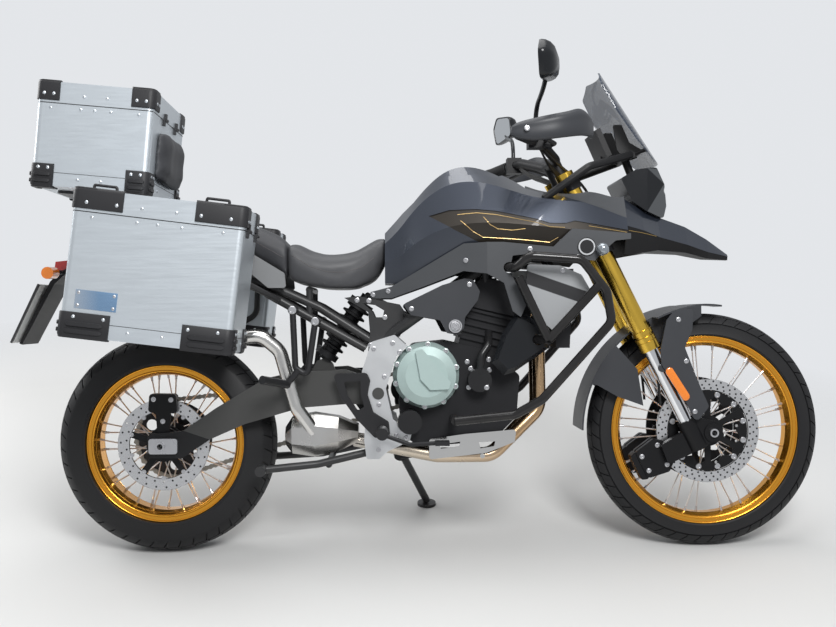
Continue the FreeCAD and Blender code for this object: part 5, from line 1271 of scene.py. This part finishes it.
wide_stud = lathe_shape("wide stud", [
    (8.6, -3.5), (8.6, 2.6), (7.4, 3.8), (4.4, 3.8), (4.2, 1.8), (0.5, 1.8)], 18)
flat_stud = lathe_shape("flat stud", [
    (6.5, -3.5), (6.5, 1.2), (5.6, 1.9), (3.2, 1.9), (3.0, 0.8), (0.5, 0.8)], 16)
rotor = Finish("rotor face", (0.70, 0.70, 0.71), 0.28, 1.0)
vector, *_ = rotor.at()
rotor.set("Roughness", rotor.noise(vector, 60.0) * 0.16 + 0.2)
rotor_thickness, clearance = 5.0, 0.05
# Columns: node, body, axle, sides, inner and outer radius, face y, stud, stud radius, studs, holes round, rows
disc_table = (
    ("front_discs", "front_wheel", front_axle, both, 120.5, 152.5, 67.3, wide_stud, 109.0, 12, 40, 3),
    ("rear_disc", "rear_wheel", rear_centre, (-1,), 98.5, 132.5, 85.3, flat_stud, 97.0, 10, 26, 2),
)
for name, body, axle, sides, inner, outer, face_y, shape, stud_radius, studs, holes, rows in disc_table:
    dress(steel, name)
    # Inside its edge the CAD disc is black: the carrier's own colour, and painted shade under the drilled holes
    dress_faces(black_metal, name, faces_where(name, lambda c: near(c, axle.x, axle.z, outer - 2.0)))
    stud_rows, skins = [], []
    for side in sides:
        for y in (face_y + clearance, face_y - rotor_thickness - clearance):
            sector = drilled_sector(axle, side * y, inner + 1.0, outer - 0.5, 2 * math.pi / holes, rows)
            skins.append(around.grow(sector, rotor, Count=holes, Centre=spot(*axle), Axis=way(0, 1, 0)))
        stud_rows += [(round_axle(axle, stud_radius, 2 * math.pi * (k + 0.5) / studs, side * face_y),
                       way(0, side, 0)) for k in range(studs)]
    piece(name + "_faces", joined("faces", skins), body, rotor)
    scatter(name + "_studs", shape, stud_rows, body, steel)

# %% [markdown]
# Each front rotor floats on a black carrier: a ring with scallops, held by the studs. Its
# inner edge is a wave with one bite for each stud.

# %% Front disc carriers
bites, bite_steps, bite_depth = 12, 8, 16.0
carrier_inner, carrier_outer, carrier_low, carrier_high = 86.0, 118.5, 63.0, 66.6
carriers = []
for side in both:
    rings = []
    for k in range(bites * bite_steps):
        a = 2 * math.pi * k / (bites * bite_steps)
        edge = carrier_inner + bite_depth * (0.5 - 0.5 * math.cos(a * bites))
        rings.append([round_axle(front_axle, r, a, side * y) for r, y in (
            (edge, carrier_high), (carrier_outer, carrier_high),
            (carrier_outer, carrier_low), (edge, carrier_low))])
    carriers.append(rings_mesh("carrier", rings, closed=True))
piece("front_disc_carriers", joined("carriers", carriers), "front_wheel", black_metal, sharp=40.0)

# %% [markdown]
# A hub and its spokes are one CAD node. The cast hub is dark and the spokes are bright, so
# the spokes are the faces beyond the hub's own radius.

# %% Hubs
dress(hub_metal, "front_hub", "rear_hub")
spoke_out = 79.5
for name, axle, reach in (("front_hub", front_axle, 44.0), ("rear_hub", rear_centre, 56.0)):
    spokes = faces_where(name, lambda c: not near(c, axle.x, axle.z, reach) and abs(c.y) < spoke_out)
    dress_faces(spoke_steel, name, spokes)
    print(name, "spoke faces", len(spokes))

# %% [markdown]
# The fork's bright inner tubes slide in the gold outer tubes. They are part of the node with
# the axle clamps, so their faces are found by how near they lie to the fork's line.

# %% Fork tubes and collars
rake, fork_lead, fork_spread = math.radians(26.2), 53.0, 105.0
steering_way = way(-math.sin(rake), 0.0, math.cos(rake))


def leg_spot(side, ahead, up, y=fork_spread):
    """A point by a fork leg: ahead across its line, up along it from the axle, and out from the middle."""
    foot_x = front_axle.x - fork_lead * math.cos(rake)
    foot_z = front_axle.z - fork_lead * math.sin(rake)
    return spot(foot_x + ahead * math.cos(rake) - up * math.sin(rake), side * y,
                foot_z + ahead * math.sin(rake) + up * math.cos(rake))


tube_low, tube_high, tube_radius = 66.5, 258.0, 22.5
bright = []
for face in nodes["fork_lowers"].data.polygons:
    for side in both:
        run = (face.center - leg_spot(side, 0.0, 0.0)) / MM
        up = run.dot(steering_way)
        if tube_low < up < tube_high and (run - steering_way * up).length < tube_radius:
            bright.append(face.index)
dress_faces(chrome, "fork_lowers", bright)
collar = lathe_shape("collar", [(27.0, -7.0), (30.5, -6.0), (30.5, 6.0), (27.0, 7.0)], 32)
rows = [(leg_spot(side, 0.0, up), steering_way) for side in both for up in (332.0, 352.0)]
scatter("fork_collars", collar, rows, "steering", gold_tube)

# %% [markdown]
# Bright bolts stand on the calipers, the passenger footrest hangers and the side covers. The
# swingarm is black near the rear axle on the side that shows.

# %% Shoulder bolts
shoulder_bolt = lathe_shape("shoulder bolt", [
    (15.0, -1.0), (15.0, 2.6), (13.4, 4.4), (9.6, 4.8), (9.0, 2.0), (7.4, 2.0), (7.2, 4.6), (4.2, 4.6),
    (4.0, 2.0), (0.5, 2.0)], 28)
hanger_bolt = lathe_shape("hanger bolt", [
    (11.5, -1.0), (11.5, 2.2), (10.0, 3.6), (6.4, 3.8), (6.0, 1.6), (0.5, 1.6)], 24)
rows = found(probe("shrouds"), [(side_bolt_x, side_bolt_z)], flat=True)
scatter("side_cover_bolts", shoulder_bolt, rows, "chassis", steel)
hanger_face = 181.0
rows = [(spot(x, side * hanger_face, z), way(0, side, 0)) for side in both for x, z in ((384, 712), (448, 680))]
scatter("hanger_bolts", hanger_bolt, rows, "chassis", steel)

# %% Caliper bolts
probe_start = 0.3
surface = probe("front_calipers")
rows = []
for side in both:
    for ahead, up in ((-104.0, 34.0), (-104.0, -30.0), (-160.0, 24.0), (-160.0, -22.0)):
        start = leg_spot(side, ahead, up, 60.0) + way(0, side, 0) * probe_start
        place = surface.ray_cast(start, way(0, -side, 0))[0]
        if place:
            rows.append((place, way(0, side, 0)))
scatter("caliper_bolts", small_bolt, rows, "steering", steel)
places = [(ahead, rear_centre.z + up) for ahead, up in ((-24, 134), (26, 132), (2, 70))]
rows = found(probe("rear_caliper"), places, (-1,), rear_centre.x, flat=True)
scatter("rear_caliper_bolts", small_bolt, rows, "chassis", steel)
arm_end_x, arm_side_y = rear_centre.x + 118, -90.0
dress_faces(black_plastic, "swingarm", faces_where("swingarm", lambda c: c.x < arm_end_x and c.y < arm_side_y))

# %% [markdown]
# A drive chain is a loop of links round two sprockets. One pair of links is modelled, and the
# path tree lays it along the loop: two straight runs that touch both sprockets, and two arcs.

# %% Drive chain
rear_x, rear_z, rear_pitch = 0.0, rear_centre.z, 117.0
front_x, front_z, front_pitch = pivot_x + 78.0, 470.0, 47.0
chain_y, pin_step, half_link, pin_radius, pin_half = 84.0, 15.875, 7.94, 4.6, 8.4
distance = math.hypot(front_x - rear_x, front_z - rear_z)
slope = math.atan2(front_z - rear_z, front_x - rear_x)
turn = math.acos((rear_pitch - front_pitch) / distance)
loop = []
for x, z, radius, start, end in ((rear_x, rear_z, rear_pitch, slope + turn, slope - turn + 2 * math.pi),
                                 (front_x, front_z, front_pitch, slope - turn, slope + turn)):
    for a in (start + (end - start) * k / 32 for k in range(33)):
        loop.append(spot(x + radius * math.cos(a), chain_y, z + radius * math.sin(a)))
loop.append(loop[0])
loop_length = sum((b - a).length for a, b in zip(loop, loop[1:])) / MM
pairs = round(loop_length / (2 * pin_step))


def link_plate(middle, y, thick=1.8):
    """A waisted side plate between two pins, about its middle."""
    end, waist = 7.0, 4.6
    outline = []
    for out in (1, -1):
        for a in (math.pi * k / 8 - out * math.pi / 2 for k in range(9)):
            outline.append((out * half_link + end * math.cos(a), end * math.sin(a)))
        outline.append((0, out * waist))
    rings = [[Vector((middle + x, side, z)) * MM for x, z in outline] for side in (y - thick / 2, y + thick / 2)]
    return rings_mesh("plate", rings)


links = [link_plate(0, 4.6), link_plate(0, -4.6), link_plate(pin_step, 6.8), link_plate(pin_step, -6.8)]
for x in (-half_link, half_link):
    turns = [2 * math.pi * k / 10 for k in range(10)]
    links.append(rings_mesh("pin", [
        [Vector((x + pin_radius * math.cos(a), y, pin_radius * math.sin(a))) * MM for a in turns]
        for y in (-pin_half, pin_half)]))
link_pair = bpy.data.objects.new("link pair", joined("link pair", links))
chain_steel = cast_metal("chain steel", (0.42, 0.40, 0.36), 0.34)
chain = on_path.grow(line_mesh("chain path", loop), chain_steel, Shape=link_pair, Count=pairs + 1,
                     Side=way(0, 1, 0))
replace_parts(piece("chain_links", chain, "chassis", chain_steel), "drive_chain")
print("chain", pairs, "pairs of links in", round(loop_length), "mm")

# %% [markdown]
# Bolts hold the covers and plates. Each row gives a place on the side view and a face that
# carries it. The place across the machine is found on the CAD surface itself.

# %% Engine and plate bolts
clutch_x, clutch_z, clutch_face, clutch_circle = pivot_x + 138.0, 523.0, 144.7, 89.0
rows = [(spot(clutch_x + clutch_circle * math.cos(a), -clutch_face, clutch_z + clutch_circle * math.sin(a)),
         way(0, -1, 0)) for a in (math.radians(degrees) for degrees in range(15, 375, 36))]
scatter("clutch_bolts", small_bolt, rows, "chassis", steel)

surface = probe("pivot_plates", "engine_block", "engine_covers")
rows = found(surface, ((-12, 600), (42, 616), (62, 590), (18, 520), (2, 440), (14, 392), (52, 352), (80, 346),
                       (0, 310)), ahead=pivot_x)
rows += found(surface, ((262, 486), (310, 488), (322, 536), (268, 540), (258, 560), (320, 566)), (-1,), pivot_x)
alternator_x, alternator_z, bolt_circle = pivot_x + 232, 520, 66
rows += found(surface, [(alternator_x + bolt_circle * math.cos(a), alternator_z + bolt_circle * math.sin(a))
                        for a in (2 * math.pi * k / 8 for k in range(8))], (1,))
scatter("case_bolts", small_bolt, rows, "chassis", steel)

# %% Panel screws
surface = probe("shrouds", "side_panels", "front_fender", "frame", "footpegs")
rows = found(surface, ((-14, 756), (30, 766), (430, 880), (250, 850), (96, 714), (262, 782), (440, 690),
                       (524, 820), (-26, 738), (-60, 740), (20, 690), (-22, 610)), ahead=pivot_x)
scatter("panel_screws", small_bolt, rows, "chassis", steel)
places = [(ahead, front_axle.z + up) for ahead, up in ((-60, 64), (-106, 330), (-84, 210))]
rows = found(surface, places, ahead=front_axle.x)
scatter("fender_screws", small_bolt, rows, "steering", steel)

# %% [markdown]
# Thin gold lines edge the bronze inlay. They are fine tubes whose points are found on the
# panel from its side view, so they hug its curve.

# %% Gold lines
surface = probe("side_panels", "beak")
# Each row runs (ahead of the swingarm's pivot, height) along one line
line_rows = (
    ((228, 980), (282, 984), (336, 978), (400, 965), (450, 955), (487, 943), (530, 941)),
    ((236, 962), (270, 932), (300, 915), (356, 912), (430, 906), (488, 900), (512, 914)),
    ((600, 946), (660, 937), (712, 929)),
    ((722, 936), (770, 930), (812, 922)),
    ((300, 972), (318, 950), (340, 938), (380, 934), (418, 938)),
)
lines = [tube("line", laid_on(surface, row, 3, side, 0.2, pivot_x), 0.9, 4, 2)
         for row in line_rows for side in both]
piece("gold_lines", joined("gold lines", lines), "chassis", gold_line)

# %% [markdown]
# The radiator is a block of fine fins. Slats across its front face stand for the rows that
# show between the cowls.

# %% Radiator slats
slat_count, slat_low, slat_rise, slat_x, slat_slope = 44, 606.0, 214.0, pivot_x + 548.4, 12.0
slat = bar_shape("slat", 330.0, 1.6, 4.0)
rows = [(spot(slat_x + slat_slope * share, 0, slat_low + slat_rise * share), way(1, 0, 0), way(0, 1, 0))
        for share in ((k + 0.5) / slat_count for k in range(slat_count))]
scatter("radiator_slats", slat, rows, "chassis", engine_paint)

# %% [markdown]
# Lamps and reflectors are clear or coloured plastic. The lens colour is in the plastic, and a
# coat gives the gloss.

# %% Lamps and reflectors
red_lens = Finish("red lens", (0.35, 0.008, 0.006), 0.1, 0.0, Coat_Weight=1.0)
vector, x, y, z = red_lens.at()
stripes = y.repeat(0.012).band(0.1, 0.9, 0.05)
red_lens.set("Base Color", red_lens.mix(stripes, (0.16, 0.004, 0.003), (0.42, 0.012, 0.01)))
amber_lens = Finish("amber lens", (0.80, 0.20, 0.01), 0.16, 0.0, Coat_Weight=1.0)
vector, x, y, z = amber_lens.at()
prisms = crosshatch(x, z, 0.004, 0.2, 0.8, 0.2)
amber_lens.set("Base Color", amber_lens.mix(prisms, (0.75, 0.16, 0.006), (0.95, 0.32, 0.03)))
lamp_glass = Finish("lamp glass", (0.30, 0.33, 0.36), 0.08, 0.6, Coat_Weight=1.0)
tail_lamp = solid_faces("lamps")[0]
red_behind, red_above, front_lamps_x, indicators_y = -312.0, 850.0, 1000.0, 150.0
dress_faces(red_lens, "lamps", faces_where("lamps", lambda c: c.x < red_behind or c.z > red_above, tail_lamp))
dress_faces(lamp_glass, "lamps", faces_where("lamps", lambda c: c.x > front_lamps_x))
dress_faces(amber_lens, "lamps", faces_where("lamps", lambda c: abs(c.y) > indicators_y and c.x < 0))


def lozenge(ends, half, face_y, side, height):
    """A rounded raised shape on an upright face, between two ends on the side view."""
    start, stop = (Vector((x, 0, z)) for x, z in ends)
    run = (stop - start).normalized()
    off = Vector((-run.z, 0, run.x))
    rings = []
    for lift, grow in ((-1.0, 0.0), (height - 1, 0.0), (height, -1.6), (height + 0.4, -half * 0.7)):
        ring = []
        for a in (2 * math.pi * k / 16 for k in range(16)):
            place = (start if math.cos(a) < 0 else stop) + (half + grow) * (run * math.cos(a) + off * math.sin(a))
            ring.append(spot(place.x, side * (face_y + lift), place.z))
        rings.append(ring)
    return rings_mesh("lozenge", rings)


leg_cover_y = 143.0
reflector_ends = ((front_axle.x - 133, front_axle.z + 180), (front_axle.x - 88, front_axle.z + 108))
reflectors = [lozenge(reflector_ends, 12.0, leg_cover_y, side, 5.0) for side in both]
piece("fork_reflectors", joined("reflectors", reflectors), "steering", amber_lens)

# %% [markdown]
# The mirrors are smooth shells with a glass on the rider's side. A shell is a stack of rings
# that share one five-sided outline with rounded corners, drawn in towards the front. The
# glass is a face of its own, sunk a little in the rim.

# %% Mirrors
mirror_glass = Finish("mirror glass", (0.72, 0.75, 0.78), 0.03, 1.0)
mirror_outline = ((-82, -34), (56, -50), (84, 12), (52, 50), (-66, 34))
# Rows: ahead of the steering head, out from the middle, above the head
stalk_route = ((-146, 262, 236), (-146, 262, 296), (-144, 392, 318), (-146, 474, 344), (-146, 484, 372))
# Rows: ahead of the mirror's middle, scale of the outline
shell_depths = ((-6, 0.90), (-8, 0.95), (-9, 1.0), (-4, 1.02), (6, 0.99), (18, 0.88), (27, 0.68), (32, 0.36),
                (33, 0.05))
glass_depths = ((-5, 0.90), (-7.6, 0.90))


def from_head(side, ahead, out, up):
    """A point of one side, from the steering head."""
    return spot(head.x + ahead, side * out, head.z + up)


def rounded_loop(corners, share=0.22, steps=4):
    """A closed outline whose corners are rounded by a share of the sides next to them."""
    result = []
    for k, corner in enumerate(corners):
        before, corner, after = Vector(corners[k - 1]), Vector(corner), Vector(corners[(k + 1) % len(corners)])
        start, end = corner.lerp(before, share), corner.lerp(after, share)
        result += [start.lerp(corner, i / steps).lerp(corner.lerp(end, i / steps), i / steps)
                   for i in range(steps + 1)]
    return result


def mirror_head(side, depths):
    """Rings of one mirror, each from (depth ahead, scale) pairs."""
    middle = from_head(side, -150, 486, 371)
    turn = Matrix.Rotation(math.radians(side * 16.0), 3, "Z")
    return [[middle + lean_turn.to_3x3() @ (turn @ Vector((ahead, side * y * scale, z * scale))) * MM
             for y, z in rounded_loop(mirror_outline)] for ahead, scale in depths]


shells, glasses = [], []
for side in both:
    shells.append(tube("stalk", [from_head(side, *row) for row in stalk_route], 6.5, 12))
    shells.append(rings_mesh("head", mirror_head(side, shell_depths)))
    glasses.append(rings_mesh("glass", mirror_head(side, glass_depths)))
shells = joined("mirrors", shells)
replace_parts(piece("mirror_shells", shells, "steering", gloss_plastic, sharp=50.0), "mirrors")
piece("mirror_glasses", joined("glasses", glasses), "steering", mirror_glass)

# %% [markdown]
# A handguard is a curved moulding in front of the fingers. Sections stand along its path from
# the bar's end round to the front, and a subdivision surface rounds the form. The bar ends
# outside it in a turned weight.

# %% Handguards
# Columns: ahead of the head, out from the middle, lower edge, upper edge, depth
guard_rows = ((-238, 436, 190, 216, 12), (-216, 442, 178, 228, 16), (-170, 450, 172, 238, 18),
              (-120, 453, 178, 248, 18), (-84, 442, 184, 256, 18), (-56, 424, 190, 270, 17),
              (-32, 396, 194, 262, 16), (-14, 356, 197, 248, 14), (-6, 318, 200, 238, 11), (-4, 304, 206, 230, 7))
# Columns: share of the depth outwards, share of the height
guard_section = ((0.0, 0.0), (0.75, 0.06), (1.0, 0.35), (0.85, 0.62), (1.0, 0.80), (0.4, 0.98), (0.0, 1.0),
                 (-0.05, 0.7), (0.1, 0.4))
shells = []
for side in both:
    rings = []
    for number, (x, y, low, high, depth) in enumerate(guard_rows):
        before, after = guard_rows[max(0, number - 1)], guard_rows[min(len(guard_rows) - 1, number + 1)]
        run = Vector((after[0] - before[0], after[1] - before[1])).normalized()
        out_x, out_y = (-run.y, run.x) if run.y <= 0 else (run.y, -run.x)
        if number <= 2:
            out_x, out_y = 0.0, 1.0
        rings.append([from_head(side, x + out_x * depth * out, y + out_y * depth * out, low + (high - low) * rise)
                      for out, rise in guard_section])
    shells.append(rings_mesh("handguard", rings))
guards = joined("handguards", shells)
guard_piece = piece("handguard_shells", guards, "steering", dark_plastic, sharp=60.0)
finer = guard_piece.modifiers.new("finer", "SUBSURF")
finer.levels = finer.render_levels = 2
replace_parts(guard_piece, "handguards")
end_cap = lathe_shape("bar end", [
    (14.0, -4.0), (17.0, -3.0), (17.0, 14.0), (13.0, 18.0), (5.0, 18.0), (5.0, 13.0), (0.5, 13.0)], 24)
rows = [(from_head(side, -214, 430, 202), way(-88, side * 224, -12)) for side in both]
scatter("bar_ends", end_cap, rows, "steering", black_metal)
rows = [(from_head(side, -196, 466, 206), way(0, side, 0)) for side in both]
scatter("handguard_screws", small_bolt, rows, "steering", steel)

# %% [markdown]
# The grips are ribbed rubber sleeves on the bar. One ring of the grip is repeated along it.

# %% Grips
grip_rubber = moulded_plastic("grip rubber", (0.014, 0.014, 0.015), 0.7, 900.0)
grip_ring = lathe_shape("grip ring", [(17.5, -2.6), (19.6, -1.6), (19.6, 1.6), (17.5, 2.6)], 18)
grip_rings = 18
rows = []
for side in both:
    start, end = from_head(side, -162, 296, 210), from_head(side, -210, 420, 202.6)
    rows += [(start.lerp(end, (k + 0.5) / grip_rings), (end - start).normalized()) for k in range(grip_rings)]
scatter("grip_rings", grip_ring, rows, "steering", grip_rubber)

# %% [markdown]
# Brake hoses run from the levers to the calipers, and cables from the switches to the
# steering head. Both ends of each ride on the fork, so it is a bent tube of that body.

# %% Hoses and cables
hose_rubber = moulded_plastic("hose rubber", (0.012, 0.012, 0.012), 0.45, 600.0)
# Rows: ahead of the steering head, out from the middle, above the head
hose_route = ((-128, 214, 200), (-66, 110, 168), (40, 60, 100), (72, 66, -30), (128, 96, -190), (196, 112, -330),
              (232, 100, -420), (240, 96, -540))
cable_route = ((-140, 232, 214), (-112, 176, 176), (-70, 96, 150), (-10, 44, 112))
lever_route = ((-128, 240, 206), (-116, 286, 203), (-134, 340, 200), (-166, 412, 198))


def along_bar(name, route, radius, sides, gap=0):
    """A tube on each side from one route; a gap shifts it for the next cable of a bundle."""
    return [tube(name, [from_head(side, ahead + gap * 0.6, out - gap * 0.5, up - gap)
                        for ahead, out, up in route], radius, sides) for side in both]


cables = [mesh for gap in (0, 9, 18) for mesh in along_bar("cable", cable_route, 3.2, 8, gap)]
piece("bar_cables", joined("bar cables", cables), "steering", hose_rubber)
levers = along_bar("lever", lever_route, 5.2, 10)
piece("levers", joined("levers", levers), "steering", black_metal)
fluid_cup = lathe_shape("fluid cup", [
    (0.5, -16.0), (13.0, -16.0), (15.0, -12.0), (16.5, 8.0), (18.5, 9.0), (18.5, 15.0), (16.0, 17.0),
    (0.5, 17.0)], 28)
rows = [(from_head(-1, -112, 236, 250), way(0, 0, 1))]
scatter("fluid_cup", fluid_cup, rows, "steering", gloss_plastic)
hoses = along_bar("brake hose", hose_route, 4.0, 8)
piece("brake_hoses", joined("brake hoses", hoses), "steering", hose_rubber)

# %% [markdown]
# The number plate is left blank. It has a thin dark rim and two screws on the bracket.

# %% Number plate
plate_white = Finish("plate face", (0.70, 0.71, 0.70), 0.35)
vector, x, y, z = plate_white.at()
edge = y.abs().step(0.111, 0.0008)
plate_white.set("Base Color", plate_white.mix(edge, (0.72, 0.73, 0.72), (0.03, 0.03, 0.032)))
# The plate hangs behind the fender, and its face slopes forward as it rises
fender_half, plate_x, plate_top, plate_slope = 71.0, -345.0, 790.0, 0.46
plate_faces = faces_where("rear_fender", lambda c: abs(c.y) > fender_half or (
    c.x < plate_x - (plate_top - c.z) * plate_slope and c.z < plate_top + 2))
dress_faces(plate_white, "rear_fender", plate_faces)
print("plate faces", len(plate_faces))
rows = [(spot(-362.0, side * 62.0, 766.0), way(-0.905, 0, 0.425)) for side in both]
scatter("plate_screws", small_bolt, rows, "chassis", steel)

# %% [markdown]
# A pale floor, one broad lamp above and two at the sides give soft studio light. The floor
# fades out with distance. The world lights the model dimly, but the camera, clear parts and
# reflections see a paler backdrop, which comes from the Light Path node and not from more
# light on the object.

# %% Floor, world and lamps
bpy.context.scene.view_settings.view_transform = "Standard"
bpy.ops.mesh.primitive_plane_add(size=60.0)
floor = bpy.context.object
floor.name = "floor"
floor_paint = Finish("floor paint", (0.66, 0.66, 0.65), 0.75)
vector, x, y, z = floor_paint.at()
floor_paint.set("Alpha", (radius_of(x, y) * -0.7 + 2.3).clamp())
floor.data.materials.append(floor_paint.material)

world = bpy.data.worlds.new("studio")
bpy.context.scene.world = world
world.use_nodes = True
sky = Shading(world.node_tree)
camera_ray, glass_ray, glossy_ray = (sky.add("ShaderNodeLightPath", {}, {}, "Is " + kind + " Ray")
                                     for kind in ("Camera", "Transmission", "Glossy"))
background = world.node_tree.nodes["Background"]
sky.feed(background.inputs["Color"], (0.84, 0.86, 0.89))
sky.feed(background.inputs["Strength"], (camera_ray + glass_ray) * 0.58 + (glossy_ray * 0.25 + 0.34))


def lamp(name, place, aim, size, watts):
    """A square lamp that faces a point."""
    data = bpy.data.lights.new(name, "AREA")
    data.size, data.energy = size, watts
    obj = bpy.data.objects.new(name, data)
    obj.location = place
    obj.rotation_euler = (Vector(aim) - Vector(place)).to_track_quat("-Z", "Y").to_euler()
    bpy.context.scene.collection.objects.link(obj)
    print("lamp", name, watts, "W")


lamp("key", (0.8, -3.0, 3.6), (0.1, 0.0, 0.6), 1.4, 145.0)
lamp("top", (-0.4, 0.4, 4.2), (0.0, 0.0, 0.5), 3.4, 105.0)
lamp("rim", (-3.2, 1.2, 2.2), (0.0, 0.0, 0.7), 1.8, 60.0)
